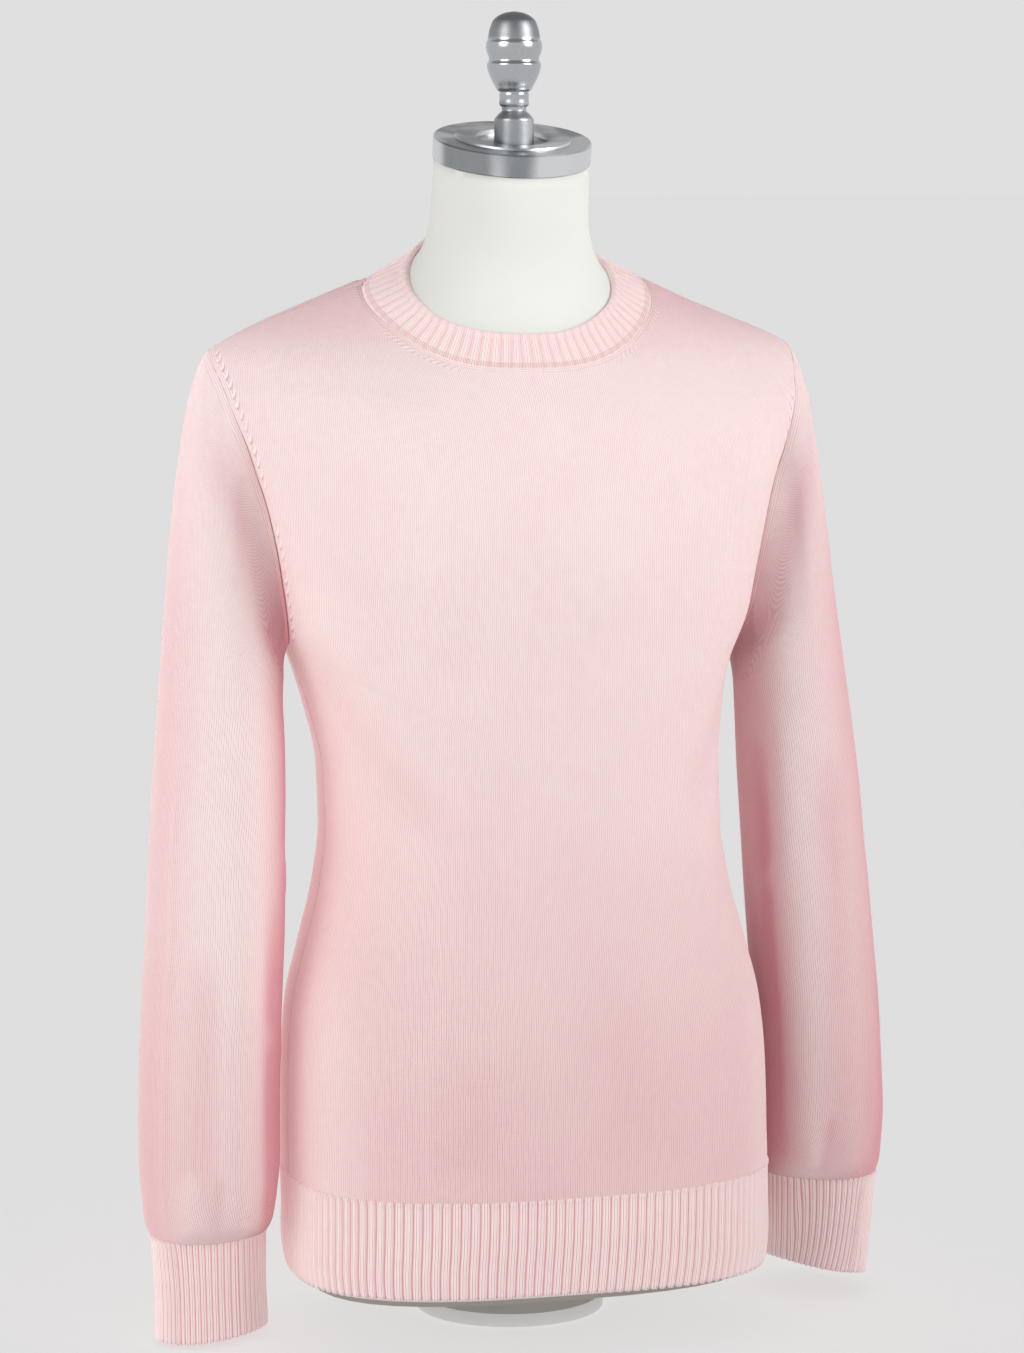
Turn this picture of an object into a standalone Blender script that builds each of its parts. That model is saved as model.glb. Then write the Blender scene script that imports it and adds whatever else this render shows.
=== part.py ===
"""A crewneck sweater worn by a limbless dress form, in metres, with +Z up.

The front faces -Y and the wearer's left is +X. The floor is at z = 0. Each knitted piece is a wall
of its own, lofted on the worn shape, with a small gap to its neighbour at every seam. Under it
stand the covered form with its neck, a turned cap and knob, and a low foot.
"""

from bisect import bisect_right
from collections import namedtuple
from math import atan2, cos, degrees, pi, radians, sin, tan

import bmesh
import bpy
from mathutils import Matrix, Vector

NAME = "crewneck_sweater_on_dress_form"
CENTRE = Vector((0.0, 0.009, 0.004))  # where the tables' own origin stands in the finished part
SEAM_GAP = 0.0003
DRAWN_IN = 0.0003  # each edge at a seam; chords across the curved seams take some of it back

# Knitted walls
PANEL_WALL = 0.0018
SLEEVE_WALL = 0.0018
RIB_WALL = 0.0022
NECK_RIB_WALL = 0.0032
NECK_RIB_PROUD = 0.0012

# Heights of the body's edges
HEM_BOTTOM = 0.040
HEM_TOP = 0.1047
ARMPIT = 0.462
SHOULDER_TIP = 0.660
SEAM_AT_NECK = 0.709

# Divisions of the pieces. Neighbours share their seam's points.
FRONT_COLUMNS = 22
BACK_COLUMNS = 18
HEM_ROWS = 2
SIDE_ROWS = 8
SEAM_ROWS = 5
ARM_COLUMNS = 24
HEAD_ROWS = 7
CUFF_ROWS = 2
NECK_RIB_ROWS = 3

# The front half of the neckline runs from one shoulder seam to the other
NECK_FRONT_REACH = radians(112)
NECK_CENTRE = Vector((0.0, 0.014, 0.0))
NECK_TURN = 6.0  # degrees that the neckline's lowest point lies to the wearer's right
NECK_TURN_REACH = (0.105, 0.165)  # from the neck's centre, where this starts to fade and ends


def column_slopes(places, values):
    steps = [
        (values[i + 1] - values[i]) / (places[i + 1] - places[i])
        for i in range(len(values) - 1)
    ]
    inner = [0.0 if a * b <= 0 else 2 * a * b / (a + b) for a, b in zip(steps, steps[1:])]
    return [steps[0], *inner, steps[-1]]


class Table:
    """Sizes at given places, joined by smooth curves that don't overshoot them."""

    def __init__(self, names, *rows):
        self.row = namedtuple("Row", names)
        self.places = [row[0] for row in rows]
        self.columns = list(zip(*rows))
        self.slopes = [column_slopes(self.places, column) for column in self.columns]

    def at(self, place):
        place = min(max(place, self.places[0]), self.places[-1])
        i = min(bisect_right(self.places, place), len(self.places) - 1) - 1
        width = self.places[i + 1] - self.places[i]
        t = (place - self.places[i]) / width
        values = [
            blend(column[i], column[i + 1], slope[i] * width, slope[i + 1] * width, t)
            for column, slope in zip(self.columns, self.slopes)
        ]
        return self.row(*values)


def blend(start, end, start_slope, end_slope, t):
    """A cubic from start to end with the given slopes, for numbers or vectors."""
    rise = t * t * (3 - 2 * t)
    return (
        start * (1 - rise)
        + end * rise
        + start_slope * (t * (1 - t) ** 2)
        - end_slope * (t * t * (1 - t))
    )


def mix(start, end, t):
    return start * (1 - t) + end * t


def signed_power(value, power):
    return (1 if value >= 0 else -1) * abs(value) ** power


# The worn body, ring by ring
TORSO = Table(
    "height half_width front back middle roundness",
    (0.037, 0.1636, -0.1355, 0.077, -0.0298, 2.7),
    (0.060, 0.1660, -0.1405, 0.088, -0.0264, 2.7),
    (0.080, 0.1656, -0.1445, 0.093, -0.0265, 2.6),
    (0.105, 0.1655, -0.1460, 0.098, -0.0240, 2.6),
    (0.140, 0.1655, -0.1460, 0.101, -0.0229, 2.5),
    (0.180, 0.1646, -0.1445, 0.103, -0.0210, 2.5),
    (0.220, 0.1614, -0.1400, 0.103, -0.0189, 2.45),
    (0.260, 0.1519, -0.1335, 0.100, -0.0173, 2.4),
    (0.300, 0.1413, -0.1270, 0.099, -0.0147, 2.4),
    (0.340, 0.1358, -0.1225, 0.101, -0.0120, 2.4),
    (0.380, 0.1360, -0.1195, 0.106, -0.0067, 2.4),
    (0.420, 0.1424, -0.1175, 0.115, 0.0070, 2.4),
    (0.450, 0.1510, -0.1170, 0.121, 0.0145, 2.35),
    (0.480, 0.1633, -0.1180, 0.126, 0.0150, 2.3),
    (0.510, 0.1696, -0.1190, 0.128, 0.0160, 2.3),
    (0.540, 0.1775, -0.1180, 0.128, 0.0170, 2.2),
    (0.570, 0.1867, -0.1140, 0.127, 0.0190, 2.1),
    (0.600, 0.2029, -0.1050, 0.124, 0.0220, 1.9),
    (0.615, 0.2110, -0.0980, 0.121, 0.0240, 1.78),
    (0.630, 0.2149, -0.0900, 0.118, 0.0260, 1.65),
    (0.645, 0.2138, -0.0770, 0.112, 0.0275, 1.5),
    (0.654, 0.2100, -0.0700, 0.107, 0.0300, 1.45),
    (0.660, 0.2045, -0.0660, 0.104, 0.0315, 1.40),
    (0.667, 0.1900, -0.0600, 0.101, 0.0350, 1.43),
    (0.673, 0.1770, -0.0560, 0.098, 0.0400, 1.48),
    (0.680, 0.1590, -0.0500, 0.094, 0.0460, 1.55),
    (0.690, 0.1330, -0.0420, 0.090, 0.0510, 1.75),
    (0.700, 0.1090, -0.0350, 0.086, 0.0510, 2.0),
    (0.709, 0.0865, -0.0330, 0.085, 0.0490, 2.1),
    (0.722, 0.0690, -0.0300, 0.085, 0.0450, 2.1),
)

# How far the armhole seam swings from the side, in degrees of ring angle
ARMHOLE_SWING = Table(
    "height angle",
    (0.462, 19.0),
    (0.480, 17.9),
    (0.510, 14.8),
    (0.540, 15.4),
    (0.570, 16.4),
    (0.600, 22.2),
    (0.615, 25.3),
    (0.630, 27.8),
    (0.660, 32.0),
)

# The neckline, where the neck rib is linked on, and the rib's own upper edge
NECKLINE = Table(
    "turn reach height",
    (0, 0.0859, 0.6517),
    (10, 0.0861, 0.6519),
    (20, 0.0869, 0.6528),
    (30, 0.0879, 0.6552),
    (40, 0.0889, 0.6596),
    (50, 0.0901, 0.6659),
    (60, 0.0915, 0.6734),
    (70, 0.0929, 0.6813),
    (80, 0.0943, 0.6893),
    (90, 0.0953, 0.6970),
    (100, 0.0954, 0.7036),
    (112, 0.09331, 0.709),
    (120, 0.0900, 0.7118),
    (135, 0.0822, 0.7160),
    (150, 0.0765, 0.7190),
    (165, 0.0726, 0.7211),
    (180, 0.0710, 0.7220),
)
NECK_RIB_EDGE = Table(
    "turn reach height",
    (0, 0.0705, 0.6711),
    (10, 0.0709, 0.6713),
    (20, 0.0716, 0.6725),
    (30, 0.0722, 0.6750),
    (40, 0.0725, 0.6785),
    (50, 0.0725, 0.6829),
    (60, 0.0722, 0.6883),
    (70, 0.0716, 0.6945),
    (80, 0.0708, 0.7010),
    (90, 0.0700, 0.7078),
    (100, 0.0688, 0.7145),
    (112, 0.0665, 0.7220),
    (120, 0.0645, 0.7268),
    (135, 0.0605, 0.7345),
    (150, 0.0585, 0.7400),
    (165, 0.0578, 0.7432),
    (180, 0.0575, 0.7450),
)

# How the sleeve leaves the armhole, around it from the shoulder by way of the front
SLEEVE_HEAD = Table(
    "place outward forward down",
    (0.000, 0.165, 0.00, 0.125),
    (0.125, 0.25, 0.12, 0.25),
    (0.250, 0.25, 0.30, 0.35),
    (0.375, 0.10, 0.35, 0.60),
    (0.500, 0.25, 0.00, 0.80),
    (0.625, 0.20, -0.30, 0.60),
    (0.750, 0.40, -0.25, 0.35),
    (0.875, 0.30, -0.15, 0.20),
    (1.000, 0.165, 0.00, 0.125),
)

# The sleeve below the armhole. It leans: its front edge turns towards the body.
SLEEVE = Table(
    "height out along across deep lean roundness",
    (0.0665, 0.2188, -0.0150, 0.0410, 0.0305, 23.0, 2.2),
    (0.0740, 0.2194, -0.0160, 0.0416, 0.0420, 18.0, 2.1),
    (0.0850, 0.2191, -0.0172, 0.0424, 0.0500, 15.0, 2.0),
    (0.1050, 0.2188, -0.0172, 0.0438, 0.0560, 14.0, 2.0),
    (0.1200, 0.2183, -0.0169, 0.0445, 0.0580, 14.0, 2.0),
    (0.1600, 0.2173, -0.0136, 0.0443, 0.0590, 14.0, 2.0),
    (0.2000, 0.2157, -0.0107, 0.0440, 0.0592, 14.0, 2.0),
    (0.2400, 0.2129, -0.0075, 0.0437, 0.0590, 14.0, 2.0),
    (0.2800, 0.2102, -0.0047, 0.0433, 0.0589, 14.0, 2.0),
    (0.3200, 0.2082, 0.0000, 0.0425, 0.0580, 14.0, 2.0),
    (0.3600, 0.2058, 0.0028, 0.0420, 0.0560, 14.0, 2.0),
    (0.4000, 0.2035, 0.0068, 0.0404, 0.0545, 14.0, 2.0),
    (0.4200, 0.2025, 0.0096, 0.0395, 0.0522, 14.0, 2.0),
    (0.4400, 0.2015, 0.0125, 0.0385, 0.0498, 14.0, 2.0),
)
SLEEVE_TOP = 0.420
SLEEVE_ROW_HEIGHTS = (0.38, 0.34, 0.30, 0.26, 0.22, 0.18, 0.14, 0.11, 0.09, 0.076, 0.0665)

# The two arms differ a little, as cloth does: where each cuff sits and how it is turned
Arm = namedtuple("Arm", "name sign rise turn out along")
ARMS = (
    Arm("right", -1, 0.0, 0.0, 0.0, 0.0),
    Arm("left", 1, 0.0125, 14.0, 0.001, 0.008),
)
CUFF = Table(
    "height out along across deep lean roundness",
    (-0.0010, 0.2172, -0.0150, 0.0408, 0.0286, 25.0, 2.3),
    (0.0300, 0.2178, -0.0150, 0.0402, 0.0282, 25.0, 2.3),
    (0.0665, 0.2188, -0.0150, 0.0410, 0.0305, 23.0, 2.2),
)
CUFF_EDGE_RISE = 0.0025  # the lower edge is higher next to the body, by this to each side

# The form inside
FORM_INSET = Table(
    "height inset",
    (0.037, 0.0070),
    (0.300, 0.0050),
    (0.450, 0.0042),
    (0.600, 0.0040),
    (0.650, 0.0034),
    (0.722, 0.0034),
)
FORM_COLUMNS = 36
FORM_HEIGHTS = (
    *(0.037, 0.060, 0.105, 0.160, 0.210, 0.260, 0.300, 0.340, 0.380, 0.420, 0.450, 0.480),
    *(0.510, 0.540, 0.570, 0.600, 0.615, 0.630, 0.643),
)
FORM_SHOULDER_ROWS = 8
FORM_COLLAR_ROWS = 2
FORM_NECK_ROWS = 6
UNDER_NECK_RIB = 0.0030
FORM_NECK = Table(
    "height half_width front back",
    (0.6700, 0.0760, -0.0530, 0.0830),
    (0.6800, 0.0740, -0.0470, 0.0820),
    (0.6900, 0.0720, -0.0420, 0.0805),
    (0.7000, 0.0700, -0.0390, 0.0780),
    (0.7100, 0.0650, -0.0374, 0.0745),
    (0.7200, 0.0600, -0.0374, 0.0710),
    (0.7300, 0.0560, -0.0390, 0.0685),
    (0.7410, 0.0540, -0.0414, 0.0666),
    (0.7650, 0.0532, -0.0440, 0.0620),
    (0.7848, 0.0530, -0.0451, 0.0585),
)
ARM_PLATE = 0.196

BASE_BOARD_TOP = FORM_HEIGHTS[0] - SEAM_GAP
BASE_BOARD_BOTTOM = 0.033
BASE_BOARD_INSET = 0.011

# The turned metal on the neck. The cap tilts forward with the neck; the knob is upright.
CAP_TILT = radians(12.0)
CAP_CENTRE = Vector((0.0, 0.0036, 0.800))
CAP_HEIGHT = 0.015
CAP_PROFILE = (
    (0.0, -0.0020),
    (0.0240, -0.0020),
    (0.0246, 0.0006),
    (0.0388, 0.0010),
    (0.0396, 0.0000),
    (0.0524, 0.0000),
    (0.0534, -0.0010),
    (0.0534, -CAP_HEIGHT + 0.0006),
    (0.0528, -CAP_HEIGHT),
    (0.0, -CAP_HEIGHT),
)
KNOB_SEAT = 0.797
POCKET_BOTTOM = 0.772
POCKET_RADIUS = 0.0140
KNOB_PROFILE = Table(
    "height radius",
    (0.0, 0.0134),
    (0.0150, 0.0132),
    (0.0185, 0.0110),
    (0.0215, 0.0081),
    (0.0240, 0.0084),
    (0.0246, 0.0096),
    (0.0260, 0.0100),
    (0.0290, 0.0098),
    (0.0320, 0.0100),
    (0.0336, 0.0096),
    (0.0345, 0.0112),
    (0.0400, 0.0142),
    (0.0460, 0.0172),
    (0.0530, 0.0188),
    (0.0570, 0.0184),
    (0.0587, 0.0171),
    (0.0604, 0.0182),
    (0.0657, 0.0188),
    (0.0700, 0.0178),
    (0.0754, 0.0166),
    (0.0800, 0.0145),
    (0.0830, 0.0120),
    (0.0847, 0.0096),
    (0.0860, 0.0066),
    (0.0867, 0.0038),
    (0.0870, 0.0012),
)
TURNED_STEPS = 28

# The low foot that the form stands on
FOOT_CENTRE = Vector((0.0, 0.012, 0.0))
FOOT_PROFILE = (
    (0.0, BASE_BOARD_BOTTOM - SEAM_GAP),
    (0.0320, BASE_BOARD_BOTTOM - SEAM_GAP),
    (0.0330, 0.0270),
    (0.0360, 0.0180),
    (0.0440, 0.0100),
    (0.0560, 0.0062),
    (0.0638, 0.0048),
    (0.0650, 0.0000),
    (0.0650, -CENTRE.z),
    (0.0, -CENTRE.z),
)


def torso(angle, height):
    """A point of the worn cloth. Angle 0 is the wearer's left side and -90 degrees the front."""
    ring = TORSO.at(height)
    depth = ring.back - ring.middle if sin(angle) > 0 else ring.middle - ring.front
    across = signed_power(cos(angle), 2 / ring.roundness)
    along = signed_power(sin(angle), 2 / ring.roundness)
    return Vector((ring.half_width * across, ring.middle + depth * along, height))


def torso_side(x, height, front):
    """The point of the worn cloth at this x and height, on its front or its back."""
    ring = TORSO.at(height)
    share = min(abs(x) / ring.half_width, 1.0)
    depth = (1 - share**ring.roundness) ** (1 / ring.roundness)
    edge = ring.front if front else ring.back
    return Vector((x, mix(ring.middle, edge, depth), height))


def torso_level(point, height):
    """How far out a point is on the torso's ring of this height: 1 is on it."""
    ring = TORSO.at(height)
    depth = ring.back - ring.middle if point.y > ring.middle else ring.middle - ring.front
    across = abs(point.x) / ring.half_width
    along = abs(point.y - ring.middle) / depth
    return across**ring.roundness + along**ring.roundness


def torso_normal(point):
    step = 0.0005
    slope = []
    for move in (Vector((step, 0, 0)), Vector((0, step, 0))):
        slope.append(torso_level(point + move, point.z) - torso_level(point - move, point.z))
    slope.append(torso_level(point, point.z + step) - torso_level(point, point.z - step))
    return Vector(slope).normalized()


def armhole(place):
    """A point of the left armhole: 0 at the shoulder, 0.25 in front, 0.5 under the arm."""
    middle = (SHOULDER_TIP + ARMPIT) / 2
    height = middle + (SHOULDER_TIP - middle) * cos(2 * pi * place)
    swing = radians(ARMHOLE_SWING.at(height).angle)
    return torso(-swing * sin(2 * pi * place), height)


def neck_loop(table, turn):
    """A point of the neckline or of the rib's upper edge, by its turn from the front."""
    row = table.at(abs(degrees((turn + pi) % (2 * pi) - pi)))
    return NECK_CENTRE + Vector((row.reach * sin(turn), -row.reach * cos(turn), row.height))


def settle(point):
    """The point as worn: the neckline and the cloth near it sit lower on the wearer's right."""
    offset = point - NECK_CENTRE
    turn = degrees(atan2(offset.x, -offset.y))
    turned = abs((turn + NECK_TURN + 180) % 360 - 180)
    drop = NECKLINE.at(turned).height - NECKLINE.at(abs(turn)).height
    near, far = NECK_TURN_REACH
    fade = min(max((far - offset.xy.length) / (far - near), 0.0), 1.0)
    low = min(max((point.z - 0.55) / 0.08, 0.0), 1.0)
    return point + Vector((0.0, 0.0, drop * fade * low))


def panel_edge(row, front):
    """A point of a panel's left edge: up the side seam, the armhole and the shoulder seam."""
    arm_rows = ARM_COLUMNS // 2
    if row <= SIDE_ROWS:
        height = mix(HEM_TOP, ARMPIT, row / SIDE_ROWS)
        return torso(0.0, height)
    if row <= SIDE_ROWS + arm_rows:
        step = (row - SIDE_ROWS) / ARM_COLUMNS
        return armhole(0.5 - step if front else 0.5 + step)
    share = (row - SIDE_ROWS - arm_rows) / SEAM_ROWS
    return torso(0.0, mix(SHOULDER_TIP, SEAM_AT_NECK, share))


PANEL_ROWS = SIDE_ROWS + ARM_COLUMNS // 2 + SEAM_ROWS


def edge_shares(front):
    """How far up the panel's edge each row starts, from 0 at the hem to 1 at the neck."""
    points = [panel_edge(row, front) for row in range(PANEL_ROWS + 1)]
    lengths = [0.0]
    for start, end in zip(points, points[1:]):
        lengths.append(lengths[-1] + (end - start).length)
    return [length / lengths[-1] for length in lengths]


def neck_turn(place, front):
    """The neckline's turn at a panel's place across, -1 to 1."""
    if front:
        return place * NECK_FRONT_REACH
    return pi - place * (pi - NECK_FRONT_REACH)


def make_panel_surface(front):
    """The front or back panel, by place, -1 to 1 across, and row, from the hem up."""
    shares = edge_shares(front)
    neck_middle = neck_loop(NECKLINE, neck_turn(0.0, front))
    neck_side = neck_loop(NECKLINE, neck_turn(1.0, front))

    def surface(place, row):
        side = sin(abs(place) * pi / 2)
        share = shares[row]
        edge = panel_edge(row, front)
        neck = neck_loop(NECKLINE, neck_turn(abs(place), front))
        climb = (max(row - PANEL_ROWS + SEAM_ROWS, 0) / SEAM_ROWS) ** 1.5
        x = side * edge.x + climb * (neck.x - side * neck_side.x)
        height = mix(mix(HEM_TOP, neck_middle.z, share), edge.z, side)
        height += climb * (neck.z - mix(neck_middle.z, neck_side.z, side))
        point = torso_side(x, height, front)
        normal = torso_normal(point)
        point += climb * (neck - torso_side(neck.x, neck.z, front))
        if place < 0:
            point.x, normal.x = -point.x, -normal.x
        return settle(point), normal

    return surface


def sleeve_ring(table, place, height, arm):
    """A point of the left arm's cloth at a height, by its place around from the outer side."""
    row = table.at(height)
    low = (SLEEVE_TOP - height) / (SLEEVE_TOP - CUFF.places[-1])
    lean = radians(row.lean + arm.turn * low**6)
    angle = 2 * pi * place
    across = row.across * signed_power(cos(angle), 2 / row.roundness)
    deep = row.deep * signed_power(sin(angle), 2 / row.roundness)
    x = row.out + arm.out * low**2 + across * cos(lean) - deep * sin(lean)
    y = row.along + arm.along * low**2 - across * sin(lean) - deep * cos(lean)
    z = height + arm.rise * min(low, 1.0)
    return Vector((x, y, z))


def sleeve_point(place, row, arm):
    """The left sleeve: its head is a cubic from the armhole to the upper arm, then rings."""
    if row > HEAD_ROWS:
        heights = (SLEEVE_TOP, *SLEEVE_ROW_HEIGHTS)
        step = min(int(row - HEAD_ROWS), len(heights) - 2)
        share = row - HEAD_ROWS - step
        return sleeve_ring(SLEEVE, place, mix(heights[step], heights[step + 1], share), arm)
    start = armhole(place)
    end = sleeve_ring(SLEEVE, place, SLEEVE_TOP, arm)
    below = sleeve_ring(SLEEVE, place, SLEEVE_TOP - 0.01, arm)
    head = SLEEVE_HEAD.at(place % 1.0)
    length = (end - start).length
    leave = Vector((head.outward, -head.forward, -head.down)) * length
    arrive = (below - end).normalized() * length
    return blend(start, end, leave, arrive, row / HEAD_ROWS)


def cuff_point(place, row, arm):
    """The left cuff, from its upper edge down. Its lower edge rises towards the body."""
    share = row / CUFF_ROWS
    height = mix(CUFF.places[-1], CUFF.places[0], share)
    point = sleeve_ring(CUFF, place, height, arm)
    point.z += CUFF_EDGE_RISE * share * (1 - cos(2 * pi * place))
    return point


def own_normal(point_at, u, v, u_step, v_step):
    along_u = point_at(u + u_step, v) - point_at(u - u_step, v)
    along_v = point_at(u, v + v_step) - point_at(u, v - v_step)
    return along_u.cross(along_v).normalized()


def new_object(name, bm, collection, material):
    mesh = bpy.data.meshes.new(name)
    bm.to_mesh(mesh)
    bm.free()
    obj = bpy.data.objects.new(name, mesh)
    obj.location = CENTRE
    mesh.materials.append(material)
    mesh.shade_smooth()
    mesh.set_sharp_from_angle(angle=radians(40))
    collection.objects.link(obj)
    return obj


def knitted(name, collection, material, surface, places, rows, wall, tube=False):
    """A knitted wall: a grid laid on the surface, its inner face, and rims between the two.

    surface gives the outer point and normal for a place across and a row. Edges are drawn in to
    leave a seam's gap to the neighbour.
    """
    columns = len(places) - 1
    bm = bmesh.new()
    bmesh.ops.create_grid(bm, x_segments=columns, y_segments=rows, size=0.5)
    spots = {}
    for vert in bm.verts:
        spots[round((vert.co.x + 0.5) * columns), round((vert.co.y + 0.5) * rows)] = vert
    shape = {(i, j): surface(places[i], j) for i, j in spots}
    inner = {}
    for (i, j), vert in spots.items():
        point, normal = shape[i, j]
        shift = Vector((0.0, 0.0, 0.0))
        for edge, step in ((0, 1), (rows, -1)):
            if j == edge:
                shift += (shape[i, j + step][0] - point).normalized()
        for edge, step in ((0, 1), (columns, -1)):
            if i == edge and not tube:
                shift += (shape[i + step, j][0] - point).normalized()
        vert.co = point + shift * DRAWN_IN
        inner[vert] = vert.co - normal * wall
    if tube:
        seam = {spots[columns, j]: spots[0, j] for j in range(rows + 1)}
        bmesh.ops.weld_verts(bm, targetmap=seam)
    outer_verts = bm.verts[:]
    rim = [edge for edge in bm.edges if edge.is_boundary]
    copy = bmesh.ops.duplicate(bm, geom=bm.verts[:] + bm.edges[:] + bm.faces[:])
    for vert in outer_verts:
        copy["vert_map"][vert].co = inner[vert]
    for edge in rim:
        a, b = edge.verts
        bm.faces.new((a, b, copy["vert_map"][b], copy["vert_map"][a]))
    bmesh.ops.recalc_face_normals(bm, faces=bm.faces[:])
    return new_object(name, bm, collection, material)


def evenly(start, end, count):
    return [mix(start, end, i / count) for i in range(count + 1)]


def build_panels(collection, material):
    for name, front, columns in (("front", True, FRONT_COLUMNS), ("back", False, BACK_COLUMNS)):
        surface = make_panel_surface(front)
        places = evenly(-1.0, 1.0, columns)
        knitted(name, collection, material, surface, places, PANEL_ROWS, PANEL_WALL)


def build_hem_ribs(collection, material):
    for name, front, columns in (
        ("hem_rib_front", True, FRONT_COLUMNS),
        ("hem_rib_back", False, BACK_COLUMNS),
    ):

        def surface(place, row, front=front):
            height = mix(HEM_BOTTOM, HEM_TOP, row / HEM_ROWS)
            x = TORSO.at(height).half_width * sin(place * pi / 2)
            point = torso_side(x, height, front)
            return point, torso_normal(point)

        places = evenly(-1.0, 1.0, columns)
        knitted(name, collection, material, surface, places, HEM_ROWS, RIB_WALL)


def build_neck_rib(collection, material):
    def rib_point(turn, row):
        share = row / NECK_RIB_ROWS
        return settle(mix(neck_loop(NECKLINE, turn), neck_loop(NECK_RIB_EDGE, turn), share))

    def surface(turn, row):
        normal = own_normal(rib_point, turn, row, 0.02, 0.05)
        edge = neck_loop(NECKLINE, turn)
        front = abs((turn + pi) % (2 * pi) - pi) < NECK_FRONT_REACH
        lower = torso_normal(torso_side(edge.x, edge.z, front))
        share = min(2 * row / NECK_RIB_ROWS, 1.0)
        normal = mix(lower, normal, share).normalized()
        return rib_point(turn, row) + normal * NECK_RIB_PROUD, normal

    front = [neck_turn(place, True) for place in evenly(-1.0, 1.0, FRONT_COLUMNS)]
    back = [neck_turn(-place, False) for place in evenly(-1.0, 1.0, BACK_COLUMNS)]
    places = front + back[1:]
    rows = NECK_RIB_ROWS
    knitted("neck_rib", collection, material, surface, places, rows, NECK_RIB_WALL, tube=True)


def build_arm(arm, collection, material, rib_material):
    def make_surface(point_at, meets_panels):
        def on_left(place, row):
            return point_at(place, row, arm)

        def surface(place, row):
            point = on_left(place, row)
            normal = own_normal(on_left, place, row, 0.004, 0.02)
            if meets_panels and row == 0:
                panel = torso_normal(point)
                if (on_left(place, 0.02) - point).dot(panel) < 0:
                    normal = panel
            point.x *= arm.sign
            normal.x *= arm.sign
            return point, normal

        return surface

    places = evenly(0.0, 1.0, ARM_COLUMNS)
    rows = HEAD_ROWS + len(SLEEVE_ROW_HEIGHTS)
    sleeve = make_surface(sleeve_point, True)
    cuff = make_surface(cuff_point, False)
    name = arm.name
    knitted("sleeve_" + name, collection, material, sleeve, places, rows, SLEEVE_WALL, tube=True)
    knitted("cuff_" + name, collection, rib_material, cuff, places, CUFF_ROWS, RIB_WALL, tube=True)


def neck_turn_of(angle):
    """The neckline's turn that belongs to a ring angle of the torso."""
    away = (degrees(angle) + 90) % 360
    place = min(away, 360 - away) / 90
    if place < 1:
        turn = neck_turn(place, True)
    else:
        turn = neck_turn(2 - place, False)
    return turn if away <= 180 else -turn


def inset_from_cloth(point):
    inner = point - torso_normal(point) * FORM_INSET.at(point.z).inset
    inner.x = min(max(inner.x, -ARM_PLATE), ARM_PLATE)
    return inner


def form_body_point(angle, height):
    inner = settle(inset_from_cloth(torso(angle, height)))
    if height == FORM_HEIGHTS[0]:
        inner.z = height
    return inner


def form_shoulder_point(angle, share):
    """From the ring below the neckline, at share 0, to the neckline, at 1."""
    front = sin(angle) < 0
    neck = neck_loop(NECKLINE, neck_turn_of(angle))
    start = torso(angle, FORM_HEIGHTS[-1])
    start_ratio = start.x / TORSO.at(start.z).half_width
    neck_ratio = min(max(neck.x / TORSO.at(neck.z).half_width, -1.0), 1.0)
    height = mix(start.z, neck.z, share)
    x = TORSO.at(height).half_width * mix(start_ratio, neck_ratio, share)
    over = neck - torso_side(neck.x, neck.z, front)
    return settle(inset_from_cloth(torso_side(x, height, front)) + over * share**2)


def form_collar_point(angle, share):
    """Under the neck rib, from the neckline to the rib's upper edge."""
    turn = neck_turn_of(angle)

    def rib_point(turn, share):
        return mix(neck_loop(NECKLINE, turn), neck_loop(NECK_RIB_EDGE, turn), share)

    normal = own_normal(rib_point, turn, share, 0.02, 0.05)
    return settle(rib_point(turn, share) - normal * UNDER_NECK_RIB)


def form_neck_point(angle, share):
    """From the rib's upper edge, at share 0, to the neck's tilted top, at 1."""
    turn = neck_turn_of(angle)

    def on_neck(height):
        row = FORM_NECK.at(height)
        middle = (row.front + row.back) / 2
        depth = (row.back - row.front) / 2
        return Vector((row.half_width * sin(turn), middle - depth * cos(turn), height))

    low = form_collar_point(angle, 1.0)
    top = on_neck(FORM_NECK.places[-1])
    top.z += (top.y - on_neck_middle()) * tan(CAP_TILT)
    height = mix(low.z, top.z, share)
    point = on_neck(height)
    return point + (low - on_neck(low.z)) * (1 - share) ** 6


def on_neck_middle():
    row = FORM_NECK.at(FORM_NECK.places[-1])
    return (row.front + row.back) / 2


def form_rings():
    """The form's rings, from its flat bottom up to the neck's tilted top."""
    angles = [2 * pi * i / FORM_COLUMNS for i in range(FORM_COLUMNS)]
    rings = [[form_body_point(angle, height) for angle in angles] for height in FORM_HEIGHTS]
    for place_point, count in (
        (form_shoulder_point, FORM_SHOULDER_ROWS),
        (form_collar_point, FORM_COLLAR_ROWS),
        (form_neck_point, FORM_NECK_ROWS),
    ):
        for row in range(1, count + 1):
            rings.append([place_point(angle, row / count) for angle in angles])
    return rings


def loft_solid(rings):
    """A closed solid through rings of equal count, with flat ends."""
    bm = bmesh.new()
    layers = [[bm.verts.new(point) for point in ring] for ring in rings]
    for low, high in zip(layers, layers[1:]):
        for i in range(len(low)):
            k = (i + 1) % len(low)
            bm.faces.new((low[i], low[k], high[k], high[i]))
    bm.faces.new(layers[0][::-1])
    bm.faces.new(layers[-1])
    bmesh.ops.recalc_face_normals(bm, faces=bm.faces[:])
    return bm


def build_form(collection, material):
    return new_object("form_body", loft_solid(form_rings()), collection, material)


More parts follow.
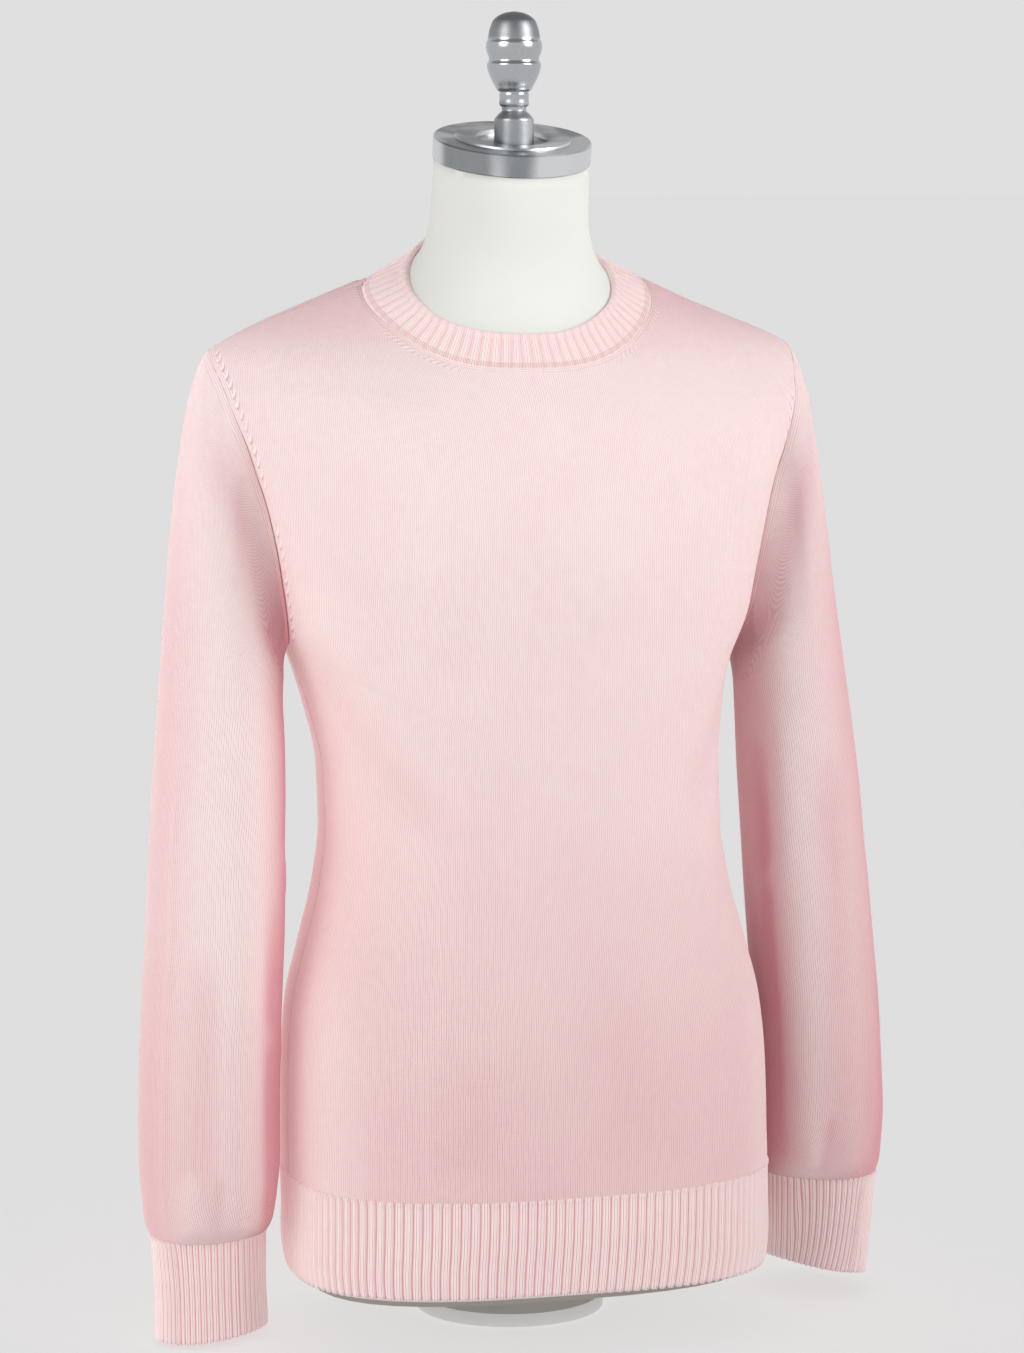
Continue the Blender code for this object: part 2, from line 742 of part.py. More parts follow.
def build_base_board(collection, material):
    rings = []
    for height in (BASE_BOARD_BOTTOM, BASE_BOARD_TOP):
        ring = []
        for i in range(FORM_COLUMNS):
            angle = 2 * pi * i / FORM_COLUMNS
            edge = torso(angle, HEM_BOTTOM)
            edge -= torso_normal(edge) * BASE_BOARD_INSET
            ring.append(Vector((edge.x, edge.y, height)))
        rings.append(ring)
    return new_object("base_board", loft_solid(rings), collection, material)


def turned(name, profile, collection, material):
    """A solid of revolution about its own z axis, from points of radius and height."""
    bm = bmesh.new()
    verts = [bm.verts.new((radius, 0.0, height)) for radius, height in profile]
    for start, end in zip(verts, verts[1:]):
        bm.edges.new((start, end))
    obj = new_object(name, bm, collection, material)
    screw = obj.modifiers.new("turned", "SCREW")
    screw.steps = TURNED_STEPS
    screw.render_steps = TURNED_STEPS
    screw.use_merge_vertices = True
    screw.merge_threshold = 0.00001
    screw.use_smooth_shade = True
    return obj


def pocket_cutter(collection):
    """An upright cylinder that makes the knob's pocket through the cap and into the neck."""
    bm = bmesh.new()
    top = CAP_CENTRE.z + 2 * CAP_HEIGHT
    middle = (top + POCKET_BOTTOM) / 2
    bmesh.ops.create_cone(
        bm,
        cap_ends=True,
        segments=TURNED_STEPS,
        radius1=POCKET_RADIUS,
        radius2=POCKET_RADIUS,
        depth=top - POCKET_BOTTOM,
        matrix=Matrix.Translation((0.0, 0.0, middle)),
    )
    mesh = bpy.data.meshes.new("knob_pocket")
    bm.to_mesh(mesh)
    bm.free()
    cutter = bpy.data.objects.new("knob_pocket", mesh)
    cutter.location = CENTRE
    cutter.hide_render = True
    cutter.display_type = "WIRE"
    collection.objects.link(cutter)
    return cutter


def cut(obj, cutter):
    boolean = obj.modifiers.new("pocket", "BOOLEAN")
    boolean.operation = "DIFFERENCE"
    boolean.object = cutter


def build_cap_and_knob(collection, material, cutter):
    cap = turned("neck_cap", CAP_PROFILE, collection, material)
    cap.location = CENTRE + CAP_CENTRE
    cap.rotation_euler = (CAP_TILT, 0.0, 0.0)
    cut(cap, cutter)
    heights = KNOB_PROFILE.places
    profile = [(0.0, heights[-1])]
    profile += [(KNOB_PROFILE.at(height).radius, height) for height in reversed(heights)]
    foot = POCKET_BOTTOM - KNOB_SEAT + SEAM_GAP
    profile += [(KNOB_PROFILE.at(0.0).radius, foot), (0.0, foot)]
    knob = turned("finial", profile, collection, material)
    knob.location = CENTRE + Vector((0.0, 0.0, KNOB_SEAT))


def make_material(name, colour, roughness, metallic=0.0):
    material = bpy.data.materials.new(name)
    material.use_nodes = True
    shader = material.node_tree.nodes["Principled BSDF"]
    shader.inputs["Base Color"].default_value = (*colour, 1.0)
    shader.inputs["Roughness"].default_value = roughness
    shader.inputs["Metallic"].default_value = metallic
    return material


def clear_scene():
    for obj in list(bpy.data.objects):
        bpy.data.objects.remove(obj)


def new_collection(name):
    collection = bpy.data.collections.new(name)
    bpy.context.scene.collection.children.link(collection)
    return collection


def main():
    clear_scene()
    parts = new_collection(NAME)
    cutters = new_collection("cutters")
    knit = make_material("pink_knit", (0.86, 0.60, 0.62), 0.85)
    rib = make_material("pink_rib", (0.88, 0.63, 0.65), 0.85)
    linen = make_material("cream_cover", (0.86, 0.86, 0.83), 0.7)
    board = make_material("dark_board", (0.12, 0.09, 0.08), 0.7)
    metal = make_material("turned_aluminium", (0.72, 0.73, 0.74), 0.3, 1.0)
    satin = make_material("pale_foot", (0.80, 0.80, 0.80), 0.5)

    build_panels(parts, knit)
    build_hem_ribs(parts, rib)
    build_neck_rib(parts, rib)
    for arm in ARMS:
        build_arm(arm, parts, knit, rib)
    pocket = pocket_cutter(cutters)
    form = build_form(parts, linen)
    cut(form, pocket)
    build_base_board(parts, board)
    build_cap_and_knob(parts, metal, pocket)
    foot = turned("foot", FOOT_PROFILE, parts, satin)
    foot.location = CENTRE + FOOT_CENTRE


main()
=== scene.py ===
"""The finished look of a crewneck sweater worn by a limbless dress form, in metres, with +Z up.

The front faces -Y and the wearer's left is +X. Every knitted piece is laid again on the worn
shape, from the same named sizes as its solid, with its ribs, stitches, seams and soft creases.
"""

from types import SimpleNamespace

import bmesh
import bpy
import numpy as np
from mathutils import Matrix, Vector
from mathutils.kdtree import KDTree


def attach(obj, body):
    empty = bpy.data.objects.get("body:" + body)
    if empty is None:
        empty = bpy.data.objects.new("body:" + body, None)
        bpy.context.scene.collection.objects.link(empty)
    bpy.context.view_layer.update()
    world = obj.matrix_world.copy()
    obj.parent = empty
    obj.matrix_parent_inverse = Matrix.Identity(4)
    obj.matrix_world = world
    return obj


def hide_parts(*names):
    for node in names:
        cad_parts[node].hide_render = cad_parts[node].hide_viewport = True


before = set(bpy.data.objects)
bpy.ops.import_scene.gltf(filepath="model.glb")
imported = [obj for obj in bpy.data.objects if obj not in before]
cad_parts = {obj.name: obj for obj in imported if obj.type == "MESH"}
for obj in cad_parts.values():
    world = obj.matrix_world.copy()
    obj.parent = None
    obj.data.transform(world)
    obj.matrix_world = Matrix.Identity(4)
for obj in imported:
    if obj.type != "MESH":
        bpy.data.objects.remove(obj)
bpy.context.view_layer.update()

CENTRE = np.array((0.0, 0.009, 0.004))  # where the tables' own origin stands in the part

# Knitted walls and gauge
PANEL_WALL = 0.0018
RIB_WALL = 0.0022
NECK_RIB_WALL = 0.0032
NECK_RIB_PROUD = 0.0012  # how far the neck rib stands off the body
WALE = 0.00160  # one stitch across
COURSE = 0.00128  # one stitch up
STITCH_RELIEF = 0.00014
SEAM_BAND = 0.0050  # the stitches that run beside a shaped edge

# Heights of the body's edges
HEM_BOTTOM = 0.040
HEM_TOP = 0.1047
SLEEVE_TOP = 0.420
ARMPIT = 0.462
SHOULDER_TIP = 0.660
SEAM_AT_NECK = 0.709

# Ribs
HEM_RIB_PITCH = 0.0063
HEM_RIB_DEPTH = 0.0013
HEM_SCALLOP = 0.0009
HEM_SAG = 0.0022  # how much lower the hem hangs on the wearer's left
CUFF_RIBS = 54
CUFF_RIB_WIDTH = 0.0041
CUFF_RIB_DEPTH = 0.0009
CUFF_SCALLOP = 0.0004
CUFF_EDGE_RISE = 0.0025  # half of how much higher the edge is on the cuff's inner side
NECK_RIBS = 74
NECK_RIB_PITCH = 0.0077
NECK_RIB_DEPTH = 0.0009
NECK_ALLOWANCE = (-0.24, -0.14, -0.06)  # shares of the rib's height, hidden under the body

# Fine divisions, kept near two millimetres
FRONT_COLUMNS = 216
BACK_COLUMNS = 180
SIDE_ROWS = 96
ARM_ROWS = 72
SEAM_ROWS = 36
SLEEVE_COLUMNS = 132
HEAD_ROWS = 80
SLEEVE_ROWS = 170
RIB_COLUMNS = 10  # to each rib
HEM_ROWS = 22
CUFF_ROWS = 24
NECK_ROWS = 16
BEAD_ROWS = 8
KNOB_STEPS = 140
TURN_STEPS = 96
SEAM_STEP = 0.0005
MERGE_REACH = 1e-6
SOLID_MERGE_REACH = 1e-5

# Rows that run over or under the neighbouring piece: how far beyond the edge, how high a rib
# stands there and how deep the row sinks. The first are a rib's rounded top.
RIB_CAPS = (
    (0.0036, 0.0, 0.0024), (0.0028, 0.0009, 0.0015), (0.0020, 0.0012, 0.0006),
    (0.0010, 0.0011, 0.0003),
)
ALLOWANCE = (
    (0.0036, 0.0, 0.0030), (0.0018, 0.0, 0.0022), (0.0006, 0.0, 0.0007), (0.0003, 0.0, 0.0002),
)
# How far the cloth sinks along its seams and where a neighbour covers it
SEAM_DIP = 0.0001
SEAM_REACH = 0.0020
NECK_DIP = 0.0018  # under the neck rib, at the shoulders and behind
EDGE_TUCK = 0.0008
CUFF_TUCK = 0.0010

# Colours
PINK = (0.95, 0.790, 0.795)
# The pale pink is also a painted highlight on raised stitches and on the neck rib's bead. The four
# after it are painted shade: between stitches, in grooves and along seams, the deepest shade in
# holes and hollows, and the shade in folds, hollows and low down.
PINK_PALE_AND_PAINTED_HIGHLIGHT = (0.97, 0.850, 0.830)
PINK_PAINTED_STITCH_SHADE = (0.56, 0.385, 0.385)
PINK_PAINTED_GROOVE_SHADE = (0.76, 0.44, 0.46)
PINK_PAINTED_DEEP_SHADE = (0.50, 0.20, 0.23)
PINK_PAINTED_HOLLOW_SHADE = (0.80, 0.38, 0.43)
CREAM = (0.82, 0.83, 0.785)
BOARD_BROWN = (0.40, 0.37, 0.33)
# The cap's upright streaks between these two are painted reflection
METAL_DARK = (0.31, 0.325, 0.34)
METAL_BRIGHT = (0.76, 0.78, 0.80)
FOOT_WHITE = (0.90, 0.90, 0.90)
FLOOR_GREY = (0.40, 0.40, 0.40)
WHITE = (1.0, 1.0, 1.0, 1.0)
# Painted shade: how much darker the colour is made low down and over the shoulders
PANEL_LOW_PAINTED_SHADE = 0.42
SLEEVE_LOW_PAINTED_SHADE = 0.25
SHOULDER_PAINTED_SHADE = 0.48

# The studio
CAMERA_LENS = 120.27
CAMERA_SHIFT = -2 / 1353
CAMERA_PITCH = 7.45
CAMERA_TURN = 16.0
CAMERA_PLACE = (-0.8407, -2.9228, 0.839)
BACKGROUND_GREY = 0.745
OVERHEAD_GREY = 0.30
OVERHEAD_RISE = (0.28, 0.62)
FLOOR_GLOW = 0.58
FLOOR_REACH = 30.0
LAMP_SPREAD = np.radians(48)
FILL_SOFTNESS = np.radians(60)
# Lamps: name, place, the height they aim at, size, power and the pieces they light
LAMPS = (
    ("left_softbox", (-1.80, -0.95, 1.65), 0.72, 1.5, 2.3, "mount"),
    ("left_cloth_softbox", (-1.80, -0.95, 1.65), 0.78, 1.5, 1.50, "cloth"),
    ("right_softbox", (1.45, -1.35, 1.75), 0.84, 1.4, 3.3, "pieces"),
    ("back_left_softbox", (-1.50, 1.70, 1.25), 0.72, 1.4, 1.0, "cloth"),
    ("back_right_softbox", (1.40, 1.80, 1.35), 0.72, 1.4, 0.7, "cloth"),
)
# Fills: name, direction they come from, colour, strength and the pieces they light. They cast
# no shadow and so reach the cloth's hollows.
FILLS = (
    ("left_fill", (-1.0, -0.20, 0.15), (1.0, 0.89, 0.88), 1.35, "near_cloth"),
    ("right_fill", (1.0, -0.45, 0.1), (1.0, 0.66, 0.67), 0.72, "cloth"),
    ("back_fill", (0.1, 1.0, 0.3), (1.0, 0.62, 0.62), 0.16, "cloth"),
)

# Where seam coordinates start, a metre apart: two armholes, the neckline, then the sleeves' own
NECK_SEAM = 2
SLEEVE_SEAM = 4

HOLLOW_DEPTH = 0.0040  # the hollow down the armhole's lower half
# The ridge that ironing leaves on a sleeve, and the groove on its cuff
PRESSED_PLACE = 0.05
PRESSED_WIDTH = 0.0026
PRESSED_HEIGHT = 0.0010
SLEEVE_GIRTH = 0.31
CUFF_GROOVE_PLACE = 0.075
CUFF_GROOVE_WIDTH = 0.0016
CUFF_GROOVE_DEPTH = 0.0016

# Soft folds: two ends, half width and height. Each end is two numbers: x and z on a panel, the
# place around and z on a sleeve, where 0 is outside and 0.25 in front.
FOLDS = {
    "front": (
        (-0.146, 0.455, -0.085, 0.35, 0.016, -0.0016),
        (-0.12, 0.48, -0.05, 0.39, 0.022, 0.001),
        (0.15, 0.46, 0.095, 0.365, 0.016, -0.0014),
        (-0.105, 0.34, -0.118, 0.19, 0.02, 0.0012),
        (0.11, 0.33, 0.128, 0.2, 0.018, 0.0013),
        (-0.06, 0.2, -0.075, 0.12, 0.022, -0.001),
        (0.03, 0.24, 0.045, 0.125, 0.028, -0.0009),
    ),
    "back": (
        (-0.11, 0.33, 0.02, 0.312, 0.011, 0.0022),
        (-0.03, 0.29, 0.115, 0.302, 0.012, 0.002),
        (-0.12, 0.3, -0.05, 0.272, 0.01, -0.0014),
        (0.04, 0.345, 0.125, 0.362, 0.013, 0.0016),
        (-0.15, 0.47, -0.1, 0.37, 0.016, -0.0018),
        (0.152, 0.465, 0.098, 0.375, 0.017, -0.0016),
        (-0.02, 0.56, -0.03, 0.44, 0.03, -0.0012),
    ),
    "sleeve_right": (
        (0.22, 0.33, 0.235, 0.086, 0.011, 0.0026),
        (0.31, 0.29, 0.31, 0.09, 0.011, -0.0022),
        (0.14, 0.26, 0.15, 0.09, 0.013, -0.0016),
        (0.34, 0.33, 0.43, 0.3, 0.009, 0.001),
        (0.3, 0.215, 0.4, 0.19, 0.01, 0.001),
        (0.12, 0.12, 0.13, 0.08, 0.006, 0.0013),
        (0.19, 0.118, 0.19, 0.078, 0.005, -0.0013),
        (0.28, 0.118, 0.28, 0.078, 0.006, 0.0012),
        (0.6, 0.33, 0.72, 0.3, 0.01, 0.0018),
        (0.58, 0.27, 0.7, 0.235, 0.011, -0.0018),
        (0.7, 0.26, 0.71, 0.09, 0.011, 0.0022),
        (0.78, 0.25, 0.79, 0.085, 0.011, -0.002),
    ),
    "sleeve_left": (
        (0.3, 0.4, 0.265, 0.086, 0.009, 0.003),
        (0.37, 0.38, 0.345, 0.095, 0.01, -0.0024),
        (0.19, 0.37, 0.195, 0.09, 0.012, -0.0022),
        (0.1, 0.3, 0.11, 0.09, 0.01, 0.0014),
        (0.33, 0.3, 0.43, 0.278, 0.009, 0.001),
        (0.15, 0.122, 0.155, 0.08, 0.006, 0.0014),
        (0.225, 0.12, 0.225, 0.078, 0.005, -0.0014),
        (0.61, 0.345, 0.73, 0.318, 0.01, 0.0018),
        (0.59, 0.262, 0.71, 0.24, 0.011, -0.0016),
        (0.72, 0.25, 0.73, 0.09, 0.011, 0.0022),
        (0.8, 0.24, 0.81, 0.085, 0.011, -0.0018),
    ),
}

# The neckline: where its front ends at the shoulder seams, its middle, how many degrees it is
# turned to the wearer's right, and how far out the cloth follows that turn
NECK_FRONT_REACH = np.radians(112)
NECK_CENTRE = np.array((0.0, 0.014, 0.0))
NECK_TURN = 6.0
NECK_TURN_REACH = (0.105, 0.165)


def blend(start, end, start_slope, end_slope, t):
    """A cubic from start to end with the given slopes."""
    rise = t * t * (3 - 2 * t)
    curve = start_slope * (t * (1 - t) ** 2) - end_slope * (t * t * (1 - t))
    return start * (1 - rise) + end * rise + curve


def mix(start, end, t):
    return start * (1 - t) + end * t


def smooth(low, high, value):
    """0 below low, 1 above high, and a soft step between them."""
    t = np.clip((value - low) / (high - low), 0.0, 1.0)
    return t * t * (3 - 2 * t)


def signed_power(value, power):
    return np.where(value >= 0, 1.0, -1.0) * np.abs(value) ** power


def points(x, y, z):
    return np.stack(np.broadcast_arrays(x, y, z), axis=-1)


def unit(vectors):
    return vectors / np.maximum(np.linalg.norm(vectors, axis=-1, keepdims=True), 1e-12)


class Table:
    """Sizes at given places, joined by smooth curves that don't overshoot them."""

    def __init__(self, names, *rows):
        self.names = names.split()
        self.rows = np.array(rows)
        self.places = self.rows[:, 0]
        steps = np.diff(self.rows, axis=0) / np.diff(self.places)[:, None]
        product = steps[:-1] * steps[1:]
        total = np.where(product > 0, steps[:-1] + steps[1:], 1.0)
        inner = np.where(product > 0, 2 * product / total, 0.0)
        self.slopes = np.vstack((steps[:1], inner, steps[-1:]))

    def values(self, place):
        place = np.clip(place, self.places[0], self.places[-1])
        i = np.clip(np.searchsorted(self.places, place, "right") - 1, 0, len(self.places) - 2)
        width = (self.places[i + 1] - self.places[i])[..., None]
        t = (place - self.places[i])[..., None] / width
        ends = self.slopes[i] * width, self.slopes[i + 1] * width
        return blend(self.rows[i], self.rows[i + 1], *ends, t)

    def at(self, place):
        values = self.values(np.asarray(place, float))
        return SimpleNamespace(**dict(zip(self.names, np.moveaxis(values, -1, 0))))

    def softened(self, spread):
        """The same sizes, with their corners rounded over a spread of places."""
        low, high = self.places[0], self.places[-1]
        places = np.linspace(low, high, int(2 * (high - low) / spread))
        offsets = np.linspace(-2, 2, 17)
        weights = np.exp(-0.5 * offsets**2)
        near = places[:, None] + offsets * spread
        inside = np.clip(near, low, high)
        values = 2 * self.values(inside) - self.values(2 * inside - near)
        rows = np.einsum("ijk,j->ik", values, weights / weights.sum())
        rows[0], rows[-1] = self.rows[0], self.rows[-1]
        rows[:, 0] = places
        return Table(" ".join(self.names), *rows)


# The worn body, ring by ring
TORSO = Table(
    "height half_width front back middle roundness",
    (0.037, 0.1636, -0.1355, 0.077, -0.0298, 2.7),
    (0.06, 0.166, -0.1405, 0.088, -0.0264, 2.7),
    (0.08, 0.1656, -0.1445, 0.093, -0.0265, 2.6),
    (0.105, 0.1655, -0.146, 0.098, -0.024, 2.6),
    (0.14, 0.1655, -0.146, 0.101, -0.0229, 2.5),
    (0.18, 0.1646, -0.1445, 0.103, -0.021, 2.5),
    (0.22, 0.1614, -0.14, 0.103, -0.0189, 2.45),
    (0.26, 0.1519, -0.1335, 0.1, -0.0173, 2.4),
    (0.3, 0.1413, -0.127, 0.099, -0.0147, 2.4),
    (0.34, 0.1358, -0.1225, 0.101, -0.012, 2.4),
    (0.38, 0.136, -0.1195, 0.106, -0.0067, 2.4),
    (0.42, 0.1424, -0.1175, 0.115, 0.007, 2.4),
    (0.45, 0.151, -0.117, 0.121, 0.0145, 2.35),
    (0.48, 0.1633, -0.118, 0.126, 0.015, 2.3),
    (0.51, 0.1696, -0.119, 0.128, 0.016, 2.3),
    (0.54, 0.1775, -0.118, 0.128, 0.017, 2.2),
    (0.57, 0.1867, -0.114, 0.127, 0.019, 2.1),
    (0.6, 0.2029, -0.105, 0.124, 0.022, 1.9),
    (0.615, 0.211, -0.098, 0.121, 0.024, 1.78),
    (0.63, 0.2149, -0.09, 0.118, 0.026, 1.65),
    (0.645, 0.2138, -0.077, 0.112, 0.0275, 1.5),
    (0.654, 0.21, -0.07, 0.107, 0.03, 1.45),
    (0.66, 0.2045, -0.066, 0.104, 0.0315, 1.4),
    (0.667, 0.19, -0.06, 0.101, 0.035, 1.43),
    (0.673, 0.177, -0.056, 0.098, 0.04, 1.48),
    (0.68, 0.159, -0.05, 0.094, 0.046, 1.55),
    (0.69, 0.133, -0.042, 0.09, 0.051, 1.75),
    (0.7, 0.109, -0.035, 0.086, 0.051, 2.0),
    (0.709, 0.0865, -0.033, 0.085, 0.049, 2.1),
    (0.722, 0.069, -0.03, 0.085, 0.045, 2.1),
).softened(0.004)

# How far the armhole seam swings from the side, in degrees of ring angle
ARMHOLE_SWING = Table(
    "height angle",
    (0.462, 19.0), (0.48, 17.9), (0.51, 14.8), (0.54, 15.4), (0.57, 16.4), (0.6, 22.2),
    (0.615, 25.3), (0.63, 27.8), (0.66, 32.0),
)

# The neckline, where the neck rib is linked on, and the rib's own upper edge
NECK = Table(
    "turn reach height rib_reach rib_height",
    (0, 0.0859, 0.6517, 0.0705, 0.6711), (10, 0.0861, 0.6519, 0.0709, 0.6713),
    (20, 0.0869, 0.6528, 0.0716, 0.6725), (30, 0.0879, 0.6552, 0.0722, 0.675),
    (40, 0.0889, 0.6596, 0.0725, 0.6785), (50, 0.0901, 0.6659, 0.0725, 0.6829),
    (60, 0.0915, 0.6734, 0.0722, 0.6883), (70, 0.0929, 0.6813, 0.0716, 0.6945),
    (80, 0.0943, 0.6893, 0.0708, 0.701), (90, 0.0953, 0.697, 0.07, 0.7078),
    (100, 0.0954, 0.7036, 0.0688, 0.7145), (112, 0.09331, 0.709, 0.0665, 0.722),
    (120, 0.09, 0.7118, 0.0645, 0.7268), (135, 0.0822, 0.716, 0.0605, 0.7345),
    (150, 0.0765, 0.719, 0.0585, 0.74), (165, 0.0726, 0.7211, 0.0578, 0.7432),
    (180, 0.071, 0.722, 0.0575, 0.745),
)

# How the sleeve leaves the armhole, around it from the shoulder by way of the front
SLEEVE_HEAD = Table(
    "place outward forward down",
    (0.000, 0.165, 0.00, 0.125), (0.125, 0.25, 0.12, 0.25), (0.25, 0.25, 0.3, 0.35),
    (0.375, 0.1, 0.35, 0.6), (0.5, 0.25, 0.00, 0.8), (0.625, 0.2, -0.3, 0.6),
    (0.75, 0.4, -0.25, 0.35), (0.875, 0.3, -0.15, 0.2), (1.000, 0.165, 0.00, 0.125),
)

# The sleeve below the armhole. It leans: its front edge turns towards the body.
SLEEVE = Table(
    "height out along across deep lean roundness",
    (0.0665, 0.2188, -0.015, 0.041, 0.0305, 23.0, 2.2),
    (0.074, 0.2194, -0.016, 0.0416, 0.042, 18.0, 2.1),
    (0.085, 0.2191, -0.0172, 0.0424, 0.05, 15.0, 2.0),
    (0.105, 0.2188, -0.0172, 0.0438, 0.056, 14.0, 2.0),
    (0.12, 0.2183, -0.0169, 0.0445, 0.058, 14.0, 2.0),
    (0.16, 0.2173, -0.0136, 0.0443, 0.059, 14.0, 2.0),
    (0.2, 0.2157, -0.0107, 0.044, 0.0592, 14.0, 2.0),
    (0.24, 0.2129, -0.0075, 0.0437, 0.059, 14.0, 2.0),
    (0.28, 0.2102, -0.0047, 0.0433, 0.0589, 14.0, 2.0),
    (0.32, 0.2082, 0.0000, 0.0425, 0.058, 14.0, 2.0),
    (0.36, 0.2058, 0.0028, 0.042, 0.056, 14.0, 2.0),
    (0.4, 0.2035, 0.0068, 0.0404, 0.0545, 14.0, 2.0),
    (0.42, 0.2025, 0.0096, 0.0395, 0.0522, 14.0, 2.0),
    (0.44, 0.2015, 0.0125, 0.0385, 0.0498, 14.0, 2.0),
)

# The two arms differ a little, as cloth does: where each cuff sits, how it is turned, and how
# much painted shade darkens the colour inside and outside the sleeve
ARMS = {
    "right": SimpleNamespace(
        sign=-1, rise=0.0, turn=0.0, out=0.0, along=0.0, cuff_swing=0.0, cuff_lift=0.0,
        inner_painted_shade=1.1, outer_painted_shade=0.4, outer_reach=0.14,
    ),
    "left": SimpleNamespace(
        sign=1, rise=0.0125, turn=14.0, out=0.001, along=0.008, cuff_swing=-0.05,
        cuff_lift=0.005, inner_painted_shade=0.68, outer_painted_shade=0.8, outer_reach=0.27,
    ),
}
CUFF = Table(
    "height out along across deep lean roundness",
    (-0.001, 0.2172, -0.015, 0.0408, 0.0286, 25.0, 2.3),
    (0.03, 0.2178, -0.015, 0.0402, 0.0282, 25.0, 2.3),
    (0.0665, 0.2188, -0.015, 0.041, 0.0305, 23.0, 2.2),
)

# The form's cover: facets within this angle are joined, and edges sharper than this stay crisp
JOIN_ANGLE = np.radians(30)
FORM_RIM = 50  # degrees

# The turned metal on the neck. The cap tilts forward with the neck; the knob is upright.
CAP_TILT = np.radians(12.0)
CAP_CENTRE = np.array((0.0, 0.0036, 0.800))
CAP_HEIGHT = 0.015
CAP_PROFILE = (
    (0.0, -0.002), (0.024, -0.002), (0.0246, 0.0006), (0.0388, 0.0014), (0.0394, 0.0000),
    (0.0524, 0.0000), (0.0534, -0.001), (0.0534, -CAP_HEIGHT + 0.0006), (0.0528, -CAP_HEIGHT),
    (0.0, -CAP_HEIGHT),
)
KNOB_SEAT = np.array((0.0, 0.0, 0.797))
KNOB_SUNK = 0.004  # how deep it goes into the cap
KNOB_PROFILE = Table(
    "height radius",
    (0.0, 0.0134), (0.015, 0.0132), (0.0185, 0.011), (0.0215, 0.0081), (0.024, 0.0084),
    (0.0246, 0.0096), (0.026, 0.01), (0.029, 0.0098), (0.032, 0.01), (0.0336, 0.0096),
    (0.0345, 0.0112), (0.038, 0.0132), (0.042, 0.0153), (0.046, 0.017), (0.05, 0.0181),
    (0.0522, 0.0182), (0.0534, 0.0175), (0.0552, 0.0169), (0.0572, 0.0172), (0.06, 0.0183),
    (0.0632, 0.0189), (0.0664, 0.0186), (0.0682, 0.0178), (0.0692, 0.0175), (0.074, 0.0167),
    (0.0775, 0.0157), (0.0811, 0.0141), (0.0832, 0.012), (0.0847, 0.0097), (0.086, 0.0066),
    (0.0867, 0.0038), (0.087, 0.0012),
)
FOOT_CENTRE = np.array((0.0, 0.012, 0.0))
FOOT_TOP = 0.0329  # just under the board
FOOT_PROFILE = (
    (0.0, FOOT_TOP), (0.032, FOOT_TOP), (0.033, 0.027), (0.036, 0.018), (0.044, 0.01),
    (0.056, 0.0062), (0.0638, 0.0048), (0.065, 0.0000), (0.065, -CENTRE[2]), (0.0, -CENTRE[2]),
)


def torso(angle, height):
    """Points of the worn cloth. Angle 0 is the wearer's left, and a right angle less, the front."""
    ring = TORSO.at(height)
    depth = np.where(np.sin(angle) > 0, ring.back - ring.middle, ring.middle - ring.front)
    across = signed_power(np.cos(angle), 2 / ring.roundness)
    along = signed_power(np.sin(angle), 2 / ring.roundness)
    return points(ring.half_width * across, ring.middle + depth * along, height)


def torso_side(x, height, front):
    """Points of the worn cloth at this x and height, on its front or its back."""
    ring = TORSO.at(height)
    share = np.minimum(np.abs(x) / ring.half_width, 1.0)
    depth = (1 - share**ring.roundness) ** (1 / ring.roundness)
    edge = ring.front if front else ring.back
    return points(x, mix(ring.middle, edge, depth), height)


def armhole(place):
    """Points of the left armhole: 0 at the shoulder, 0.25 in front, 0.5 under the arm."""
    middle = (SHOULDER_TIP + ARMPIT) / 2
    height = middle + (SHOULDER_TIP - middle) * np.cos(2 * np.pi * place)
    swing = np.radians(ARMHOLE_SWING.at(height).angle)
    return torso(-swing * np.sin(2 * np.pi * place), height)


def neck_loop(turn, rib=False):
    """Points of the neckline or of the rib's upper edge, by their turn from the front."""
    row = NECK.at(np.abs(np.degrees((turn + np.pi) % (2 * np.pi) - np.pi)))
    reach, height = (row.rib_reach, row.rib_height) if rib else (row.reach, row.height)
    return NECK_CENTRE + points(reach * np.sin(turn), -reach * np.cos(turn), height)


def settle(spots):
    """The points as worn: the neckline and the cloth near it sit lower on the wearer's right."""
    offset = spots - NECK_CENTRE
    turn = np.degrees(np.arctan2(offset[..., 0], -offset[..., 1]))
    turned = np.abs((turn + NECK_TURN + 180) % 360 - 180)
    drop = NECK.at(turned).height - NECK.at(np.abs(turn)).height
    near, far = NECK_TURN_REACH
    reach = np.hypot(offset[..., 0], offset[..., 1])
    fade = np.clip((far - reach) / (far - near), 0.0, 1.0)
    low = np.clip((spots[..., 2] - 0.55) / 0.08, 0.0, 1.0)
    return spots + points(0.0, 0.0, drop * fade * low)


def neck_turn(place, front):
    """The neckline's turn at a panel's place across, -1 to 1."""
    if front:
        return place * NECK_FRONT_REACH
    return np.pi - place * (np.pi - NECK_FRONT_REACH)


def panel_edge(climb, front):
    """Points of a panel's left edge. climb goes 0 to 1 up the side seam, 1 to 2 up the armhole
    and 2 to 3 along the shoulder seam."""
    side = torso(np.zeros_like(climb), mix(HEM_TOP, ARMPIT, np.clip(climb, 0, 1)))
    turn = np.clip(climb - 1, 0, 1) / 2
    arm = armhole(0.5 - turn if front else 0.5 + turn)
    seam_height = mix(SHOULDER_TIP, SEAM_AT_NECK, np.clip(climb - 2, 0, 1))
    seam = torso(np.zeros_like(climb), seam_height)
    edge = np.where(climb[..., None] > 1, arm, side)
    return np.where(climb[..., None] > 2, seam, edge)


def lengths_along(spots, axis):
    """How far along a grid of points each one lies, from the grid's start on that axis."""
    steps = np.linalg.norm(np.diff(spots, axis=axis), axis=-1)
    start = np.zeros_like(np.take(steps, [0], axis=axis))
    return np.concatenate((start, np.cumsum(steps, axis=axis)), axis=axis)


